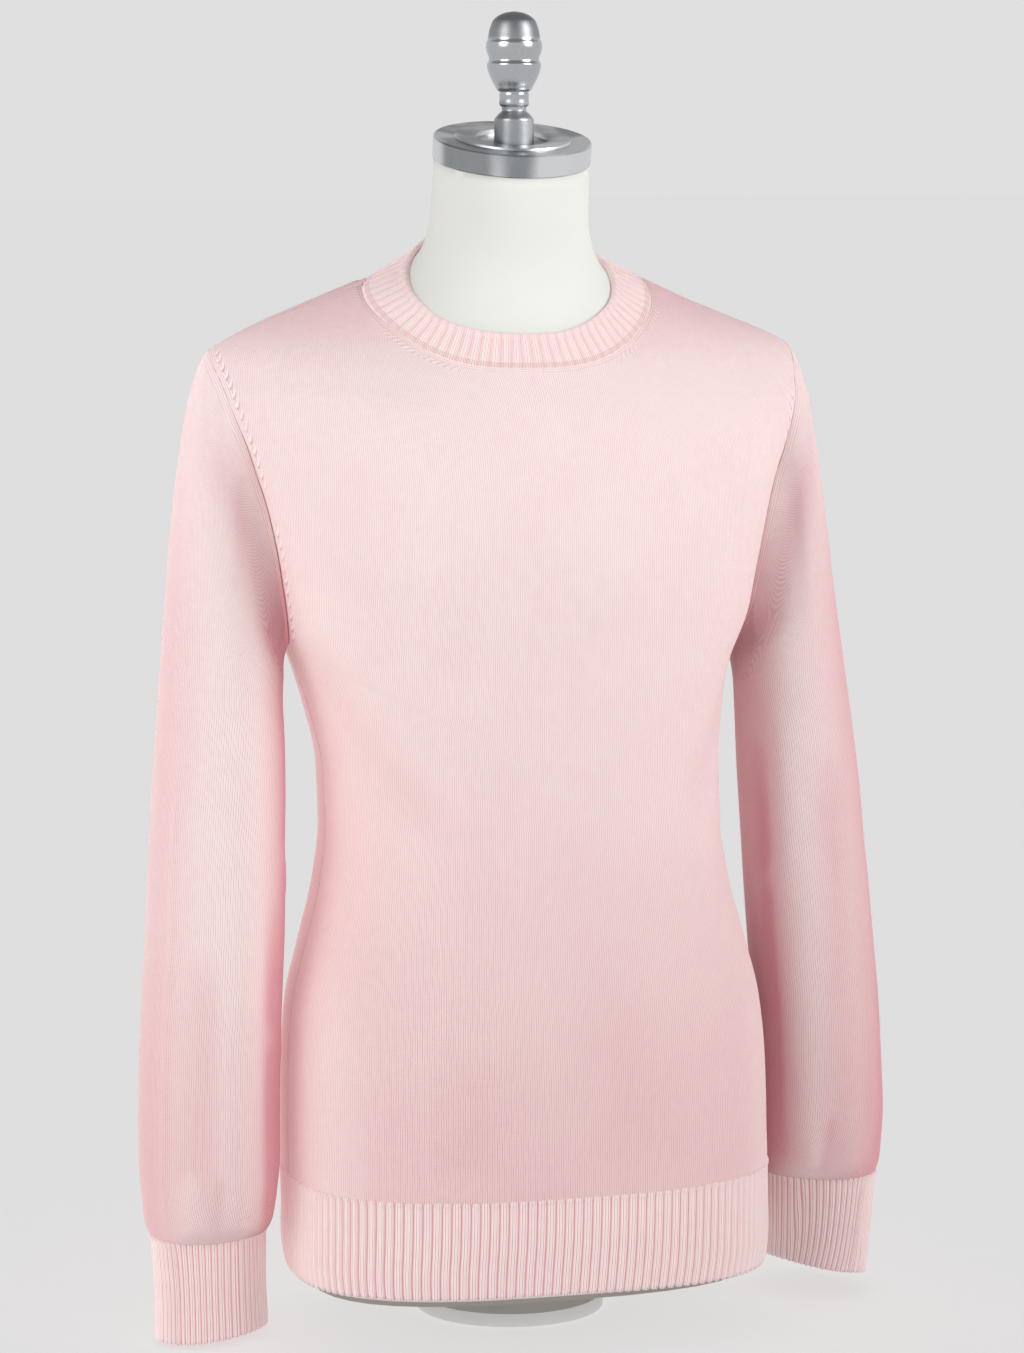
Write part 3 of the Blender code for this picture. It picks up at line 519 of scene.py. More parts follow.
def panel_points(front, columns):
    """The front or back panel's outer points, [column, row], and each row's climb."""
    climb = np.concatenate(
        (
            np.linspace(0, 1, SIDE_ROWS, endpoint=False),
            np.linspace(1, 2, ARM_ROWS, endpoint=False),
            np.linspace(2, 3, SEAM_ROWS + 1),
        )
    )
    edge = panel_edge(climb, front)
    share = lengths_along(edge, 0)
    share = share / share[-1]
    place = np.linspace(-1, 1, columns + 1)[:, None]
    side = np.sin(np.abs(place) * np.pi / 2)
    middle = neck_loop(neck_turn(np.array(0.0), front))
    corner = neck_loop(neck_turn(np.array(1.0), front))
    neck = neck_loop(neck_turn(np.abs(place), front))
    pull = np.clip(climb - 2, 0, 1) ** 1.5
    x = side * edge[:, 0] + pull * (neck[..., 0] - side * corner[0])
    height = mix(mix(HEM_TOP, middle[2], share), edge[:, 2], side)
    height = height + pull * (neck[..., 2] - mix(middle[2], corner[2], side))
    spots = torso_side(x, height, front)
    over = neck - torso_side(neck[..., 0], neck[..., 2], front)
    spots = spots + pull[:, None] * over
    spots[..., 0] *= np.where(place < 0, -1.0, 1.0)
    return settle(spots), climb


def places_round(columns):
    """Each column's place around an arm, whose seam lies inside at -0.5 and 0.5."""
    return np.linspace(-0.5, 0.5, columns + 1)[:, None]


def sleeve_ring(table, place, height, arm):
    """Points of the left arm's cloth at a height, by their place around from the outer side."""
    row = table.at(height)
    low = (SLEEVE_TOP - height) / (SLEEVE_TOP - CUFF.places[-1])
    lean = np.radians(row.lean + arm.turn * low**6)
    angle = 2 * np.pi * place
    across = row.across * signed_power(np.cos(angle), 2 / row.roundness)
    deep = row.deep * signed_power(np.sin(angle), 2 / row.roundness)
    x = row.out + arm.out * low**2 + across * np.cos(lean) - deep * np.sin(lean)
    y = row.along + arm.along * low**2 - across * np.sin(lean) - deep * np.cos(lean)
    return points(x, y, height + arm.rise * np.minimum(low, 1.0))


def sleeve_points(arm):
    """The left sleeve's outer points, [column, row], from the armhole down."""
    place = places_round(SLEEVE_COLUMNS)
    start = armhole(place)
    top = np.full_like(place, SLEEVE_TOP)
    end = sleeve_ring(SLEEVE, place, top, arm)
    below = sleeve_ring(SLEEVE, place, top - 0.01, arm)
    head = SLEEVE_HEAD.at(place % 1.0)
    length = np.linalg.norm(end - start, axis=-1, keepdims=True)
    leave = points(head.outward, -head.forward, -head.down) * length
    arrive = unit(below - end) * length
    t = np.linspace(0, 1, HEAD_ROWS, endpoint=False)[:, None]
    cap = blend(start, end, leave, arrive, t)
    height = np.linspace(SLEEVE_TOP, SLEEVE.places[0], SLEEVE_ROWS + 1)
    arm_part = sleeve_ring(SLEEVE, place, height, arm)
    return np.concatenate((cap, arm_part), axis=1)


def cuff_points(arm, columns, rows):
    """The left cuff's outer points, [column, row], from its upper edge down."""
    place = places_round(columns)
    share = np.linspace(0, 1, rows + 1)
    swung = place + arm.cuff_swing * share
    spots = sleeve_ring(CUFF, swung, mix(CUFF.places[-1], CUFF.places[0], share), arm)
    rise = CUFF_EDGE_RISE * share * (1 - np.cos(2 * np.pi * place))
    return spots + points(0.0, 0.0, rise)


def outward_normals(spots, tube=False):
    """Unit normals of a grid of points, [column, row], that point away from its middle."""
    across = np.gradient(spots, axis=0)
    if tube:
        padded = np.concatenate((spots[-2:-1], spots, spots[1:2]), axis=0)
        across = np.gradient(padded, axis=0)[1:-1]
    normals = unit(np.cross(across, np.gradient(spots, axis=1)))
    away = np.sum((spots - spots.mean(axis=(0, 1))) * normals, axis=-1).mean()
    return normals if away > 0 else -normals


def as_mesh(bm, name):
    mesh = bpy.data.meshes.new(name)
    bm.to_mesh(mesh)
    bm.free()
    return mesh


def laid_grid(name, spots, maps, joined=False):
    """A grid mesh laid on points [column, row]. maps holds two pattern coordinates for each
    point, by map name. A joined grid's last column or row meets its first."""
    columns, rows = spots.shape[0] - 1, spots.shape[1] - 1
    bm = bmesh.new()
    bmesh.ops.create_grid(bm, x_segments=columns, y_segments=rows, size=0.5)
    mesh = as_mesh(bm, name)
    flat = np.empty(len(mesh.vertices) * 3)
    mesh.vertices.foreach_get("co", flat)
    flat = flat.reshape(-1, 3)
    i = np.rint((flat[:, 0] + 0.5) * columns).astype(int)
    j = np.rint((flat[:, 1] + 0.5) * rows).astype(int)
    mesh.vertices.foreach_set("co", (spots[i, j] + CENTRE).ravel())
    corners = np.empty(len(mesh.loops), int)
    mesh.loops.foreach_get("vertex_index", corners)
    for map_name, values in maps.items():
        layer = mesh.uv_layers.new(name=map_name)
        layer.uv.foreach_set("vector", values[i, j][corners].ravel())
    bm = bmesh.new()
    bm.from_mesh(mesh)
    if joined:
        bmesh.ops.remove_doubles(bm, verts=bm.verts, dist=MERGE_REACH)
    turn_outwards(bm)
    bm.to_mesh(mesh)
    bm.free()
    mesh.shade_smooth()
    return mesh


def turn_outwards(bm):
    """Turns an open shell's faces to the side away from its middle."""
    bmesh.ops.recalc_face_normals(bm, faces=bm.faces)
    middle = sum((vert.co for vert in bm.verts), Vector()) / len(bm.verts)
    if sum(face.normal.dot(face.calc_center_median() - middle) for face in bm.faces) < 0:
        bmesh.ops.reverse_faces(bm, faces=bm.faces)


def place_piece(name, mesh, material, node):
    """Adds a mesh as a piece that stands for one solid of the part."""
    piece = bpy.data.objects.new(name, mesh)
    mesh.materials.append(material)
    bpy.context.scene.collection.objects.link(piece)
    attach(piece, "root")
    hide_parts(node)
    return piece


def lay_cloth(node, spots, maps, material, wall, joined=False):
    name = node + "_knit"
    mesh = laid_grid(name, spots, maps, joined)
    piece = place_piece(name, mesh, material, node)
    solid = piece.modifiers.new("wall", "SOLIDIFY")
    solid.thickness = wall
    solid.offset = -1.0
    solid.use_rim = True


def knit_map(spots, middle):
    """Stitch coordinates, in metres across from the middle column and along the rows."""
    across = lengths_along(spots, 0)
    across = across - across[middle : middle + 1]
    return np.stack((across, lengths_along(spots, 1)), axis=-1)


def dense(line):
    """A line of points, resampled at even small steps, with the length at each."""
    length = lengths_along(line, 0)
    at = np.arange(0, length[-1], SEAM_STEP)
    return np.stack([np.interp(at, length, line[:, k]) for k in range(3)], axis=-1), at


def seam_map(spots, lines, first):
    """For each point, how far along the nearest of some seam lines it lies, and how far from it.
    The lines start a metre apart, which tells them from each other."""
    found = [dense(line) for line in lines]
    places = np.concatenate([line for line, _ in found])
    alongs = np.concatenate([at + first + k for k, (_, at) in enumerate(found)])
    tree = KDTree(len(places))
    for k, place in enumerate(places):
        tree.insert(place, k)
    tree.balance()
    flat = spots.reshape(-1, 3)
    result = np.empty((len(flat), 2))
    for k, spot in enumerate(flat):
        _, index, distance = tree.find(spot)
        result[k] = alongs[index], distance
    return result.reshape(*spots.shape[:2], 2)


def fold_lift(spots, folds, surface):
    """How far some soft folds raise each point of a piece. A fold runs between two places on the
    surface, with its half width and its height, which is below zero for a trough."""
    lift = np.zeros(spots.shape[:-1])
    for *ends, half_width, height in folds:
        start, end = surface(*ends[:2]), surface(*ends[2:])
        line = end - start
        t = (spots - start) @ line / (line @ line)
        away = np.linalg.norm(spots - start - np.clip(t, 0, 1)[..., None] * line, axis=-1)
        taper = smooth(-0.2, 0.25, t) * (1 - smooth(0.75, 1.2, t))
        lift += height * np.exp(-((away / half_width) ** 2)) * taper
    return lift


def painted_shade_map(amount):
    """Painted shade: how much darker and pinker the colour is made in folds, hollows and other
    shaded places, as pattern coordinates.
    """
    amount = np.clip(amount, 0, 1)
    return np.stack((amount, amount), axis=-1)


def pressed_edge(place, height):
    """The fine ridge that ironing leaves down a sleeve's outer side."""
    away = (place - PRESSED_PLACE) * SLEEVE_GIRTH
    fade = smooth(0.078, 0.100, height) * (1 - smooth(0.34, 0.42, height))
    return PRESSED_HEIGHT * np.exp(-((away / PRESSED_WIDTH) ** 2)) * fade


def build_panel(name, front, columns, material):
    spots, climb = panel_points(front, columns)
    normals = outward_normals(spots)
    arm_rows = (climb >= 1) & (climb <= 2)
    seams = seam_map(spots, [spots[0, arm_rows], spots[-1, arm_rows], spots[:, -1]], 0)
    sides = seam_map(spots, [spots[0], spots[-1]], 0)
    from_seam, from_side = seams[..., 1], sides[..., 1]
    x, height = spots[..., 0], spots[..., 2]
    inner = smooth(0.0, 0.03, np.minimum(from_seam, from_side))
    inner = inner * smooth(HEM_TOP, HEM_TOP + 0.03, height)
    folds = fold_lift(spots, FOLDS[name], lambda x, z: torso_side(x, z, front)) * inner
    dip = sum(np.exp(-((away / SEAM_REACH) ** 2)) for away in (from_seam, from_side))
    lift = folds - SEAM_DIP * dip - EDGE_TUCK * smooth(HEM_TOP + 0.007, HEM_TOP, height)
    under_rib = (seams[..., 0] >= NECK_SEAM) * smooth(0.675, 0.700, height)
    lift = lift - NECK_DIP * smooth(0.008, 0.0, from_seam) * under_rib
    # Painted shade: the colour is made darker low down, less so at the sides, over the shoulders
    # and in the fold troughs
    low = PANEL_LOW_PAINTED_SHADE * smooth(0.56, 0.08, height)
    low = low * (1 - 0.7 * smooth(0.120, 0.160, np.abs(x)))
    shoulder = SHOULDER_PAINTED_SHADE * smooth(0.640, 0.700, height)
    painted_shade = painted_shade_map(np.maximum(-folds / 0.0120, 0) + low + shoulder)
    maps = {"knit": knit_map(spots, columns // 2), "seam": seams, "painted_shade": painted_shade}
    spots = spots + normals * lift[..., None]
    lay_cloth(name, spots, maps, material, PANEL_WALL)


def overlapped(spots, normals, rows, raised=0.0):
    """A piece with rows before its first one that run over or under the next piece's edge."""
    start = spots[:, :1]
    inward = unit(start - spots[:, 2:3])
    more = []
    for reach, height, sink in rows:
        lift = height * np.asarray(raised)[..., None] - sink
        more.append(start + inward * reach + normals[:, :1] * lift)
    return np.concatenate((*more, spots), axis=1)


def build_sleeve(side, material):
    name = "sleeve_" + side
    arm = ARMS[side]
    spots = sleeve_points(arm)
    normals = outward_normals(spots, tube=True)
    seams = seam_map(spots, [spots[:, 0]], SLEEVE_SEAM)
    place = places_round(SLEEVE_COLUMNS)
    height = spots[..., 2]
    folds = fold_lift(spots, FOLDS[name], lambda around, z: sleeve_ring(SLEEVE, around, z, arm))
    hollow_and_painted_shade = np.exp(-(((seams[..., 1] - 0.019) / 0.012) ** 2))
    hollow_and_painted_shade = hollow_and_painted_shade * smooth(0.625, 0.545, height) * smooth(0.440, 0.475, height)
    # Painted shade: the colour is made darker on the sleeve's inner and outer sides, low down, in
    # the fold troughs and in the trough beside the armhole
    inner = smooth(0.25, 0.40, np.abs(place)) * smooth(0.66, 0.54, height)
    inner = arm.inner_painted_shade * inner * np.where(place > 0, 1.0, 0.4)
    outer = arm.outer_painted_shade * smooth(arm.outer_reach, 0.0, np.abs(place))
    outer = outer * smooth(0.64, 0.46, height)
    low = SLEEVE_LOW_PAINTED_SHADE * smooth(0.34, 0.08, height)
    painted_shade = painted_shade_map(np.maximum(-folds / 0.0060, 0) + 0.5 * hollow_and_painted_shade + inner + outer + low)
    folds = folds + pressed_edge(place, height)
    row = np.arange(spots.shape[1])
    ending = smooth(len(row) - 8, len(row) - 1, row)
    lift = folds * smooth(0, 24, row) * (1 - ending)
    lift = lift - CUFF_TUCK * ending - HOLLOW_DEPTH * hollow_and_painted_shade
    spots = overlapped(spots + normals * lift[..., None], normals, ALLOWANCE)
    hidden = np.zeros(len(ALLOWANCE), int)
    seams, painted_shade = (values[:, np.concatenate((hidden, row))] for values in (seams, painted_shade))
    maps = {"knit": knit_map(spots, SLEEVE_COLUMNS // 2), "seam": seams, "painted_shade": painted_shade}
    spots = spots * (arm.sign, 1, 1)
    lay_cloth(name, spots, maps, material, PANEL_WALL, joined=True)


def rib_count(columns):
    """How many ribs lie before each column. Each whole number is the middle of a groove."""
    return np.arange(columns + 1)[:, None] / RIB_COLUMNS


def rib_shape(phase, groove):
    """How raised a rib is, by its count across: 0 in the groove to 1."""
    away = np.abs((phase + 0.5) % 1.0 - 0.5)
    raised = smooth(0.2 * groove, 0.2 * groove + 0.16, away)
    crown = 1 - (1 - 2 * away) ** 2
    return raised * (0.82 + 0.18 * crown)


def rib_map(phase, pitch, along):
    """A rib's stitch coordinates, in metres across its ribs and along them."""
    return np.stack(np.broadcast_arrays(phase * pitch, along), axis=-1)


def build_hem_rib(name, front, material):
    fine = np.linspace(-1, 1, 2001)
    middle_height = mix(HEM_BOTTOM, HEM_TOP, 0.5)
    x = TORSO.at(middle_height).half_width * np.sin(fine * np.pi / 2)
    length = lengths_along(torso_side(x, middle_height, front), 0)
    columns = round(length[-1] / HEM_RIB_PITCH) * RIB_COLUMNS
    place = np.interp(np.linspace(0, length[-1], columns + 1), length, fine)[:, None]
    share = np.linspace(0, 1, HEM_ROWS + 1)
    height = mix(HEM_BOTTOM, HEM_TOP, share)
    x = TORSO.at(height).half_width * np.sin(place * np.pi / 2)
    spots = torso_side(x, height, front)
    normals = outward_normals(spots)
    phase = rib_count(columns)
    raised = rib_shape(phase, 0.28)
    lift = HEM_RIB_DEPTH * (raised - 0.8) - EDGE_TUCK * smooth(0.05, 0.0, share)
    spots = spots + normals * lift[..., None]
    low = (1 - share) * HEM_SAG * smooth(-0.02, 0.14, spots[..., 0])
    spots = spots - points(0.0, 0.0, HEM_SCALLOP * raised * smooth(0.10, 0.0, share) + low)
    spots = overlapped(spots[:, ::-1], normals[:, ::-1], RIB_CAPS, raised)[:, ::-1]
    maps = {"knit": rib_map(phase, HEM_RIB_PITCH, spots[..., 2])}
    lay_cloth(name, spots, maps, material, RIB_WALL)


def build_cuff(side, material):
    arm = ARMS[side]
    columns = CUFF_RIBS * RIB_COLUMNS
    spots = cuff_points(arm, columns, CUFF_ROWS)
    normals = outward_normals(spots, tube=True)
    phase = rib_count(columns)
    raised = rib_shape(phase, 0.34)
    share = np.linspace(0, 1, CUFF_ROWS + 1)
    place = places_round(columns)
    groove = (place - CUFF_GROOVE_PLACE) * CUFF_RIBS * CUFF_RIB_WIDTH / CUFF_GROOVE_WIDTH
    groove = CUFF_GROOVE_DEPTH * np.exp(-(groove**2)) * smooth(0.02, 0.12, share)
    lift = CUFF_RIB_DEPTH * (raised - 0.8) - groove
    spots = spots + normals * lift[..., None]
    scallop = CUFF_SCALLOP * raised * smooth(0.90, 1.0, share)
    raise_front = arm.cuff_lift * share**2 * np.sin(2 * np.pi * place).clip(0)
    spots = spots + points(0.0, 0.0, raise_front - scallop)
    spots = overlapped(spots, normals, RIB_CAPS, raised)
    maps = {"knit": rib_map(phase, CUFF_RIB_WIDTH, spots[..., 2])}
    spots = spots * (arm.sign, 1, 1)
    lay_cloth("cuff_" + side, spots, maps, material, RIB_WALL, joined=True)


def build_neck_rib(material):
    columns = NECK_RIBS * RIB_COLUMNS
    turn = np.linspace(-np.pi, np.pi, columns + 1)[:, None]
    share = np.concatenate((NECK_ALLOWANCE, np.linspace(0, 1, NECK_ROWS + 1)))
    outer = settle(mix(neck_loop(turn), neck_loop(turn, rib=True), share[:, None]))
    normals = outward_normals(outer, tube=True)
    outer = outer + normals * NECK_RIB_PROUD
    phase = rib_count(columns)
    raised = rib_shape(phase, 0.25)
    ribbed = smooth(0.04, 0.10, share) * (1 - smooth(0.82, 0.88, share))
    rolled = 0.0005 * np.exp(-(((share - 0.94) / 0.05) ** 2))
    linked = -0.0005 * (1 - smooth(0.0, 0.05, share))
    hidden = -0.0034 * (1 - smooth(-0.22, -0.05, share))
    lift = NECK_RIB_DEPTH * (raised - 1.0) * ribbed + rolled + linked + hidden
    face = outer + normals * lift[..., None]
    # over the top as a rolled bead, then down the inside and back under
    top_normal = normals[:, -1:]
    up = unit(outer[:, -1:] - outer[:, -2:-1])
    centre = outer[:, -1:] - top_normal * NECK_RIB_WALL / 2
    angle = np.linspace(0, np.pi, BEAD_ROWS + 1)[1:, None]
    roll = top_normal * np.cos(angle) + up * np.sin(angle)
    bead = centre + roll * NECK_RIB_WALL / 2
    inside = outer[:, ::-4] - normals[:, ::-4] * NECK_RIB_WALL
    spots = np.concatenate((face, bead, inside[:, 1:], face[:, :1]), axis=1)
    first = len(NECK_ALLOWANCE)
    last = first + NECK_ROWS
    length = lengths_along(spots, 1)
    from_link = length - length[:, first : first + 1]
    from_bead = length[:, last : last + 1] - length
    edges = np.stack((from_link, from_bead), axis=-1)
    maps = {"knit": rib_map(phase, NECK_RIB_PITCH, length), "edges": edges}
    mesh = laid_grid("neck_rib_knit", spots, maps, joined=True)
    piece = place_piece("neck_rib_knit", mesh, material, "neck_rib")


def hard_piece(name, bm, material, node, sharp=35):
    """A smooth piece whose edges stay crisp where they turn by more than an angle in degrees."""
    mesh = as_mesh(bm, name)
    mesh.shade_smooth()
    mesh.set_sharp_from_angle(angle=np.radians(sharp))
    return place_piece(name, mesh, material, node)


def turned_piece(name, profile, seat, material, node, tilt=0.0):
    """A round piece from points of radius and height, leaned forward and stood at its seat."""
    bm = bmesh.new()
    verts = [bm.verts.new((radius, 0.0, height)) for radius, height in profile]
    edges = [bm.edges.new(pair) for pair in zip(verts, verts[1:])]
    turn = {"cent": (0, 0, 0), "axis": (0, 0, 1), "angle": 2 * np.pi, "steps": TURN_STEPS}
    bmesh.ops.spin(bm, geom=verts + edges, use_merge=True, use_duplicate=False, **turn)
    bmesh.ops.remove_doubles(bm, verts=bm.verts, dist=MERGE_REACH)
    bmesh.ops.recalc_face_normals(bm, faces=bm.faces)
    bmesh.ops.rotate(bm, verts=bm.verts, matrix=Matrix.Rotation(tilt, 3, "X"))
    bmesh.ops.translate(bm, verts=bm.verts, vec=CENTRE + seat)
    hard_piece(name, bm, material, node)


def joined_copy(node):
    """A copy of a node's own solid, with its loose triangles joined."""
    bm = bmesh.new()
    bm.from_mesh(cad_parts[node].data)
    bmesh.ops.remove_doubles(bm, verts=bm.verts, dist=SOLID_MERGE_REACH)
    return bm


def cover_form(material):
    """The form's cover: its own solid with the facets joined and rounded, and its rims crisp."""
    bm = joined_copy("form_body")
    flatness = {"angle_face_threshold": JOIN_ANGLE, "angle_shape_threshold": 2 * JOIN_ANGLE}
    bmesh.ops.join_triangles(bm, faces=bm.faces, **flatness)
    bmesh.ops.recalc_face_normals(bm, faces=bm.faces)
    crease = bm.edges.layers.float.new("crease_edge")
    for edge in bm.edges:
        edge[crease] = float(edge.calc_face_angle(0.0) > np.radians(FORM_RIM))
    piece = hard_piece("form_cover", bm, material, "form_body", FORM_RIM)
    rounding = piece.modifiers.new("rounding", "SUBSURF")
    rounding.levels = 1
    rounding.render_levels = 1


def build_board(material):
    bm = joined_copy("base_board")
    bmesh.ops.dissolve_limit(bm, angle_limit=np.radians(2), verts=bm.verts, edges=bm.edges)
    hard_piece("bottom_board", bm, material, "base_board")


def build_cap(material):
    turned_piece("turned_cap", CAP_PROFILE, CAP_CENTRE, material, "neck_cap", CAP_TILT)


def build_knob(material):
    height = np.linspace(KNOB_PROFILE.places[-1], KNOB_PROFILE.places[0], KNOB_STEPS)
    radius = KNOB_PROFILE.at(height).radius
    foot = -KNOB_SUNK
    profile = [(0.0, height[0]), *zip(radius, height), (radius[-1], foot), (0.0, foot)]
    turned_piece("turned_knob", profile, KNOB_SEAT, material, "finial")


def build_foot(material):
    turned_piece("round_foot", FOOT_PROFILE, FOOT_CENTRE, material, "foot")


def maths(operation, swapped=False):
    """A method of an amount that adds one maths node."""

    def method(self, *others):
        values = (*others, self) if swapped else (self, *others)
        return self.wire.math(operation, *values)

    return method


class Amount:
    """A number, colour or vector in a material. Sums and products of amounts add maths nodes."""

    def __init__(self, wire, socket):
        self.wire = wire
        self.socket = socket

    __abs__ = maths("ABSOLUTE")
    __add__ = __radd__ = maths("ADD")
    __sub__ = maths("SUBTRACT")
    __rsub__ = maths("SUBTRACT", swapped=True)
    __mul__ = __rmul__ = maths("MULTIPLY")
    __truediv__ = maths("DIVIDE")
    __lt__ = maths("LESS_THAN")
    __gt__ = maths("GREATER_THAN")
    fract = maths("FRACT")
    sine = maths("SINE")


class Wiring:
    """The nodes of a material or a world, added and joined one at a time."""

    def __init__(self, owner, shader="Principled BSDF"):
        owner.use_nodes = True
        self.owner = owner
        self.tree = owner.node_tree
        self.shader = self.tree.nodes[shader]

    def fill(self, node, inputs):
        """Gives a node's inputs, by name or place, their constant values or amounts."""
        for key, value in inputs.items():
            if isinstance(value, Amount):
                self.tree.links.new(value.socket, node.inputs[key])
            else:
                node.inputs[key].default_value = value

    def add(self, kind, inputs=(), output=0, **settings):
        """Adds a node and gives one of its outputs."""
        node = self.tree.nodes.new(kind)
        for key, value in settings.items():
            setattr(node, key, value)
        self.fill(node, dict(inputs))
        return Amount(self, node.outputs[output])

    def math(self, operation, *values):
        return self.add("ShaderNodeMath", enumerate(values), operation=operation)

    def step(self, low, high, value, start=0.0, end=1.0):
        """A soft step, from start at low to end at high."""
        inputs = enumerate((value, low, high, start, end))
        return self.add("ShaderNodeMapRange", inputs, interpolation_type="SMOOTHSTEP")

    def colour(self, amount, first, second):
        inputs = {0: amount}
        for key, value in ((6, first), (7, second)):
            inputs[key] = (*value, 1.0) if isinstance(value, tuple) else value
        return self.add("ShaderNodeMix", inputs, 2, data_type="RGBA")

    def parts(self, vector):
        """A vector's x, y and z."""
        split = self.add("ShaderNodeSeparateXYZ", {0: vector}).socket.node
        return [Amount(self, socket) for socket in split.outputs]

    def pattern_map(self, name):
        """The two coordinates of one of the piece's own maps."""
        return self.parts(self.add("ShaderNodeUVMap", uv_map=name))[:2]

    def noise(self, vector, scale, detail=2.0):
        inputs = {"Vector": vector, "Scale": scale, "Detail": detail}
        return self.add("ShaderNodeTexNoise", inputs)

    def place(self):
        return self.add("ShaderNodeTexCoord", output="Object")


def new_wiring(name):
    return Wiring(bpy.data.materials.new(name))


def stitches(across, along):
    """The relief of stockinette: two slanted legs to each stitch. Both inputs count stitches."""
    away = abs(across.fract() - 0.5) * 2.0
    leg = (away * np.pi).sine() + (1.0 - away) * 0.55
    wave = ((along + away * 0.6) * (2 * np.pi)).sine()
    return leg * (wave * 0.22 + 0.78)


def wandering(count, spot, size, scale):
    """A stitch count that strays a little, as knitting does."""
    return count + (count.wire.noise(spot, scale, 1.0) - 0.5) * size


def finish_knit(wire, colour, relief):
    """The matt, faintly downy surface that all the knitting shares."""
    bump = {"Height": relief, "Distance": STITCH_RELIEF, "Strength": 1.0}
    look = {
        "Base Color": colour,
        "Roughness": 0.92,
        "Specular IOR Level": 0.2,
        "Sheen Weight": 0.12,
        "Sheen Roughness": 0.5,
        "Normal": wire.add("ShaderNodeBump", bump),
    }
    wire.fill(wire.shader, look)
    return wire.owner


def dyed_yarn(wire):
    """Two near shades in soft patches, as a dyed yarn has."""
    spot = wire.place()
    patch = wire.noise(spot, 9.0) * 0.5 + wire.noise(spot, 160.0) * 0.5
    return wire.colour(wire.step(0.35, 0.65, patch), PINK, PINK_PALE_AND_PAINTED_HIGHLIGHT)


def fashioning(wire, along, away, centre, reach, pitch, slant):
    """Masks of the crossed stitches beside a shaped edge: the raised strokes, which also get a
    painted highlight, and the painted shade beside them.
    """
    across = (away - centre) / reach
    count = along / pitch - (across * across * 0.28 + across * slant)
    ends = wire.step(1.0, 0.6, abs(across))
    masks = []
    for shift, width in ((0.0, 0.20), (0.30, 0.17)):
        turn = abs((count + shift).fract() - 0.5)
        masks.append(wire.step(width, 0.4 * width, turn) * ends)
    return masks


def between(value, low, high):
    return (value > low) * (value < high)


def stockinette():
    """Plain knitting, with painted shade in its hollows and between its wales, and the marks of its
    shaping beside the seams, raised, with painted highlight and painted shade.
    """
    wire = new_wiring("pink_stockinette")
    across, along = wire.pattern_map("knit")
    seam_along, seam_away = wire.pattern_map("seam")
    # How much painted shade the piece's own map gives
    hollow_and_painted_shade, _ = wire.pattern_map("painted_shade")
    beside = seam_away < SEAM_BAND
    free = 1.0 - beside
    columns = across * free + seam_away * beside
    rows = along * free + seam_along * beside
    spot = wire.place()
    columns = wandering(columns / WALE, spot, 0.9, 55.0)
    rows = wandering(rows / COURSE, spot, 0.9, 47.0)
    relief = stitches(columns, rows)
    # Painted shade: the colour turns a deeper pink where that map is high
    colour = wire.colour(hollow_and_painted_shade * (hollow_and_painted_shade * 0.25 + 0.6), dyed_yarn(wire), PINK_PAINTED_HOLLOW_SHADE)
    # Painted shade between the wales, darker still where the map of painted shade is high
    painted_shade_between_wales = wire.step(0.9, 0.1, relief) * (hollow_and_painted_shade * 0.8 + 1.0)
    deep = wire.colour(hollow_and_painted_shade, PINK_PAINTED_STITCH_SHADE, PINK_PAINTED_DEEP_SHADE)
    colour = wire.colour(painted_shade_between_wales, colour, deep)
    # the crossed stitches beside the armholes and the neckline, raised, in painted highlight and
    # painted shade, and painted shade along the linked edge itself
    x, _, _ = wire.parts(spot)
    on_armhole = seam_along < NECK_SEAM - 0.5
    on_neck = between(seam_along, NECK_SEAM - 0.5, SLEEVE_SEAM - 0.5)
    on_neck = on_neck * wire.step(0.040, 0.060, abs(x)) * 0.7
    for where, centre, reach, pitch, slant in (
        (on_armhole, 0.0058, 0.0024, 0.0080, 0.30),
        (on_neck, 0.0072, 0.0022, 0.0046, -0.45),
    ):
        raised_stroke_and_painted_highlight, shade = fashioning(wire, seam_along, seam_away, centre, reach, pitch, slant)
        uneven = where * wire.step(0.38, 0.60, wire.noise(spot, 30.0, 1.0))
        raised_stroke_and_painted_highlight = raised_stroke_and_painted_highlight * uneven
        shade = shade * uneven * 0.45
        colour = wire.colour(raised_stroke_and_painted_highlight, colour, PINK_PALE_AND_PAINTED_HIGHLIGHT)
        colour = wire.colour(shade, colour, PINK_PAINTED_DEEP_SHADE)
        relief = relief + raised_stroke_and_painted_highlight * 0.8 - shade * 0.8
    # Painted shade in a thin line along the seam
    edge = wire.step(0.0009, 0.0003, seam_away) * 0.35
    return finish_knit(wire, wire.colour(edge, colour, PINK_PAINTED_GROOVE_SHADE), relief)


def rib_parts(wire, pitch, groove, wales):
    """A rib's stitch relief, its colour with painted shade between the stitches and in the grooves,
    its count across and how far off a groove's middle is.
    """
    across, along = wire.pattern_map("knit")
    phase = across / pitch
    away = abs((phase + 0.5).fract() - 0.5)
    relief = stitches(phase * wales, wandering(along / COURSE, wire.place(), 0.8, 50.0))
    # Painted shade between the stitches, then in the grooves
    colour = wire.colour(wire.step(0.9, 0.1, relief), dyed_yarn(wire), PINK_PAINTED_STITCH_SHADE)
    if groove:
        colour = wire.colour(wire.step(groove, 0.4 * groove, away), colour, PINK_PAINTED_GROOVE_SHADE)
    return relief, colour, phase, away


def ribbed(name, pitch, groove, wales):
    wire = new_wiring(name)
    relief, colour, _, _ = rib_parts(wire, pitch, groove, wales)
    return finish_knit(wire, colour, relief)


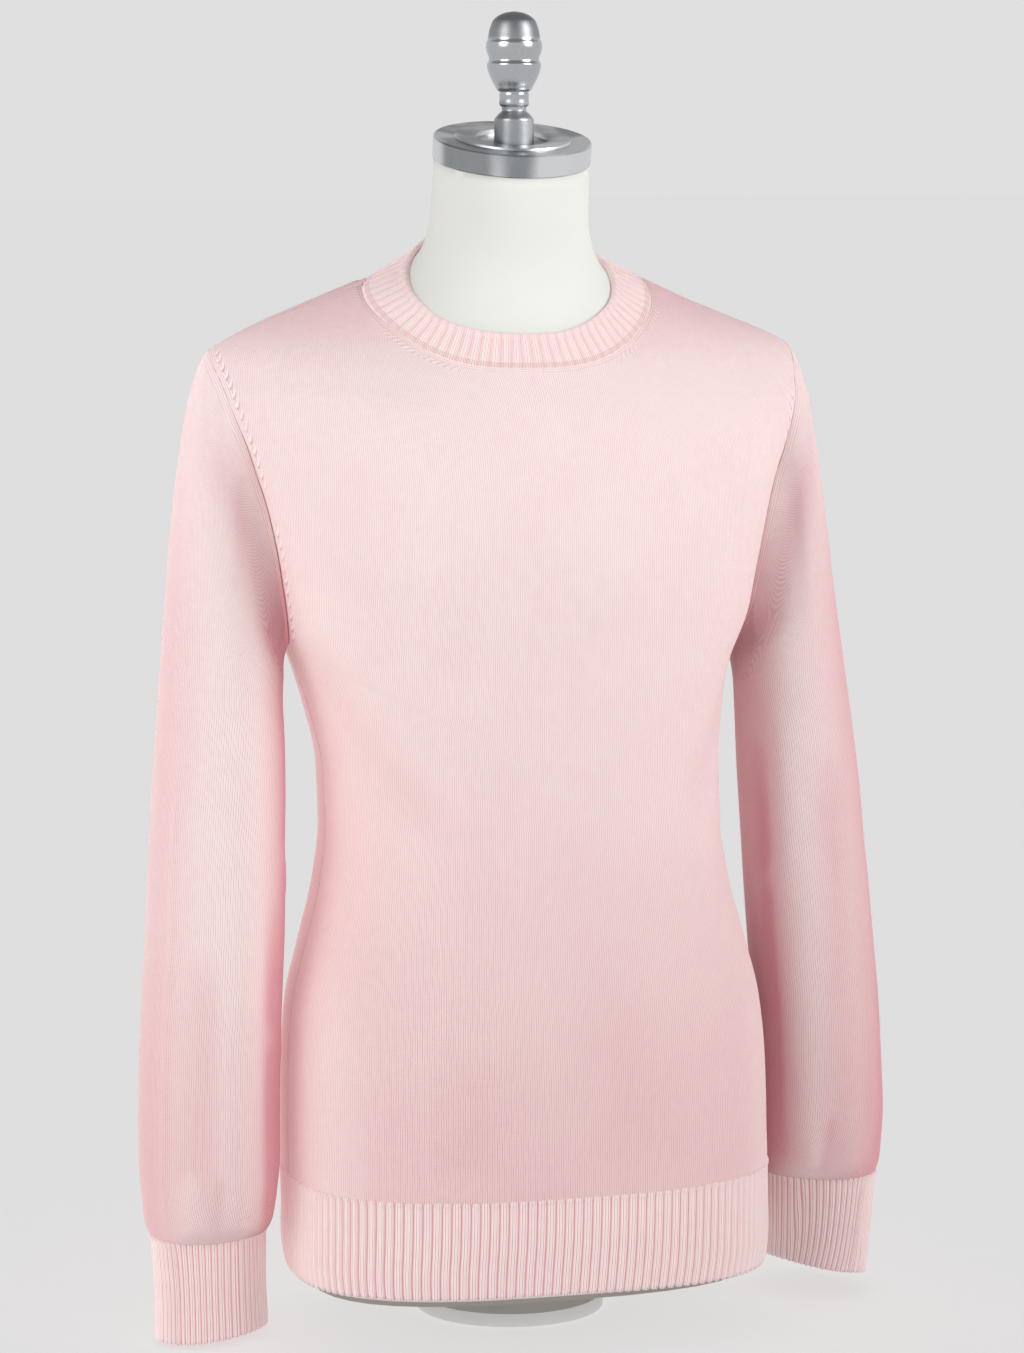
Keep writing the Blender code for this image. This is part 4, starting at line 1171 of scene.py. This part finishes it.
def neck_ribbed():
    """The neck rib's finish: its ribs, the stitch holes where it is linked on, and its bead, with
    painted shade in the recesses, holes, link line and stitch gaps and a painted highlight on the
    bead.
    """
    wire = new_wiring("pink_neck_rib")
    relief, colour, phase, away = rib_parts(wire, NECK_RIB_PITCH, 0.0, 4.0)
    # Painted shade in the recesses of the ribs and in a line beside each
    painted_recess_shade = wire.step(0.16, 0.12, away) * 0.22
    line = wire.step(0.040, 0.010, abs(away - 0.135)) * 0.6
    from_link, from_bead = wire.pattern_map("edges")
    from_link = abs(from_link)
    # Painted shade in the stitch holes and along the link line
    up = (from_link - 0.0012) / 0.0006
    side = ((phase * 5.0).fract() - 0.5) / 0.36
    holes = wire.step(1.0, 0.3, up * up + side * side) * 0.6
    linked = wire.step(0.0006, 0.0002, from_link) * 0.3
    # small slanted stitches over the bead, with painted shade in the gaps between them and a
    # painted highlight on the bead
    bead = wire.step(0.0006, -0.0004, from_bead)
    turn = abs((phase * 5.0 + from_bead * 260.0).fract() - 0.5)
    gaps = wire.step(0.20, 0.05, turn) * bead
    for amount, shade in (
        (painted_recess_shade, PINK_PAINTED_GROOVE_SHADE),
        (line, PINK_PAINTED_GROOVE_SHADE),
        (holes, PINK_PAINTED_DEEP_SHADE),
        (linked, PINK_PAINTED_DEEP_SHADE),
        (bead * 0.5, PINK_PALE_AND_PAINTED_HIGHLIGHT),
        (gaps * 0.8, PINK_PAINTED_GROOVE_SHADE),
    ):
        colour = wire.colour(amount, colour, shade)
    return finish_knit(wire, colour, relief - gaps * 1.5 - holes * 1.5)


def plain(name, colour, roughness):
    """A quiet finish in one colour, with a hint of unevenness."""
    wire = new_wiring(name)
    shade = tuple(0.985 * value for value in colour)
    patch = wire.step(0.3, 0.7, wire.noise(wire.place(), 25.0))
    look = {"Base Color": wire.colour(patch, shade, colour), "Roughness": roughness}
    wire.fill(wire.shader, look)
    return wire


def turned_metal(name, dark, bright):
    """Satin metal: painted reflection as upright light and dark streaks round the cap, an even body
    and a dull dome on the knob.
    """
    wire = new_wiring(name)
    spot = wire.place()
    _, _, height = wire.parts(spot)
    stretched = wire.add("ShaderNodeMapping", {"Vector": spot, "Scale": (34.0, 34.0, 0.5)})
    # Painted reflection: upright light and dark streaks round the cap
    painted_reflection_streak = wire.step(0.40, 0.62, wire.noise(stretched, 1.0, 1.0))
    on_cap = wire.step(0.832, 0.826, height)
    dome = wire.step(0.869, 0.872, height)
    amount = painted_reflection_streak * on_cap + (1.0 - on_cap) * 0.45 + (wire.noise(spot, 900.0) - 0.5) * 0.3
    look = {
        "Base Color": wire.colour(amount * (1.0 - dome), dark, bright),
        "Metallic": 1.0,
        "Roughness": dome * 0.22 + 0.19 + on_cap * 0.16,
    }
    wire.fill(wire.shader, look)
    return wire.owner


def soft_world():
    """Even pale light from all round, with less of it from overhead."""
    world = bpy.data.worlds.new("studio")
    wire = Wiring(world, "Background")
    _, _, height = wire.parts(wire.add("ShaderNodeTexCoord", output="Generated"))
    strength = wire.step(*OVERHEAD_RISE, height, BACKGROUND_GREY, OVERHEAD_GREY)
    wire.fill(wire.shader, {"Color": WHITE, "Strength": strength})
    bpy.context.scene.world = world


def studio_floor():
    bm = bmesh.new()
    bmesh.ops.create_grid(bm, x_segments=1, y_segments=1, size=FLOOR_REACH)
    mesh = as_mesh(bm, "floor")
    wire = plain("studio_floor", FLOOR_GREY, 1.0)
    glow = {"Emission Color": WHITE, "Emission Strength": FLOOR_GLOW}
    wire.fill(wire.shader, {"Specular IOR Level": 0.0, **glow})
    mesh.materials.append(wire.owner)
    floor = bpy.data.objects.new("floor", mesh)
    bpy.context.scene.collection.objects.link(floor)


def add_lamp(name, kind, place, aim, lit, **settings):
    light = bpy.data.lights.new(name, kind)
    for key, value in settings.items():
        setattr(light, key, value)
    lamp = bpy.data.objects.new(name, light)
    lamp.location = place
    lamp.rotation_euler = (Vector(aim) - Vector(place)).to_track_quat("-Z", "Y").to_euler()
    lamp.visible_camera = False
    lamp.light_linking.receiver_collection = lit
    bpy.context.scene.collection.objects.link(lamp)


def soft_lamps(pieces):
    """Soft boxes and weak fills that light the pieces and leave the floor even."""
    cloth = [piece for piece in pieces if piece.name.endswith("_knit")]
    members = {
        "pieces": pieces,
        "cloth": cloth,
        "near_cloth": [piece for piece in cloth if "_left" not in piece.name],
        "mount": [piece for piece in pieces if piece not in cloth],
    }
    groups = {name: bpy.data.collections.new("lit_" + name) for name in members}
    for name, group in groups.items():
        for piece in members[name]:
            group.objects.link(piece)
    for name, place, aim_height, size, power, lit in LAMPS:
        look = {"size": size, "energy": power, "spread": LAMP_SPREAD}
        add_lamp(name, "AREA", place, (0.0, 0.0, aim_height), groups[lit], **look)
    for name, place, colour, power, lit in FILLS:
        look = {"color": colour, "energy": power, "angle": FILL_SOFTNESS, "use_shadow": False}
        add_lamp(name, "SUN", place, (0.0, 0.0, 0.0), groups[lit], **look)


def camera_view():
    camera = bpy.data.cameras.new("camera")
    camera.lens = CAMERA_LENS
    camera.sensor_width = 36.0
    camera.shift_x = CAMERA_SHIFT
    camera.clip_end = 100.0
    viewer = bpy.data.objects.new("camera", camera)
    viewer.location = CAMERA_PLACE
    viewer.rotation_euler = (np.radians(90 - CAMERA_PITCH), 0.0, -np.radians(CAMERA_TURN))
    bpy.context.scene.collection.objects.link(viewer)
    bpy.context.scene.camera = viewer
    bpy.context.scene.view_settings.view_transform = "Standard"


def main():
    knit = stockinette()
    build_panel("front", True, FRONT_COLUMNS, knit)
    build_panel("back", False, BACK_COLUMNS, knit)
    hem = ribbed("pink_hem_rib", HEM_RIB_PITCH, 0.14, 3.0)
    build_hem_rib("hem_rib_front", True, hem)
    build_hem_rib("hem_rib_back", False, hem)
    cuff = ribbed("pink_cuff_rib", CUFF_RIB_WIDTH, 0.16, 2.0)
    for side in ARMS:
        build_sleeve(side, knit)
        build_cuff(side, cuff)
    build_neck_rib(neck_ribbed())
    cover_form(plain("cream_canvas", CREAM, 0.75).owner)
    build_board(plain("dark_stained_board", BOARD_BROWN, 0.7).owner)
    metal = turned_metal("satin_aluminium", METAL_DARK, METAL_BRIGHT)
    build_cap(metal)
    build_knob(metal)
    build_foot(plain("pale_painted_foot", FOOT_WHITE, 0.6).owner)
    pieces = [piece for piece in bpy.context.scene.objects if piece.type == "MESH"]
    soft_world()
    soft_lamps(pieces)
    studio_floor()
    camera_view()


main()
bpy.context.view_layer.update()
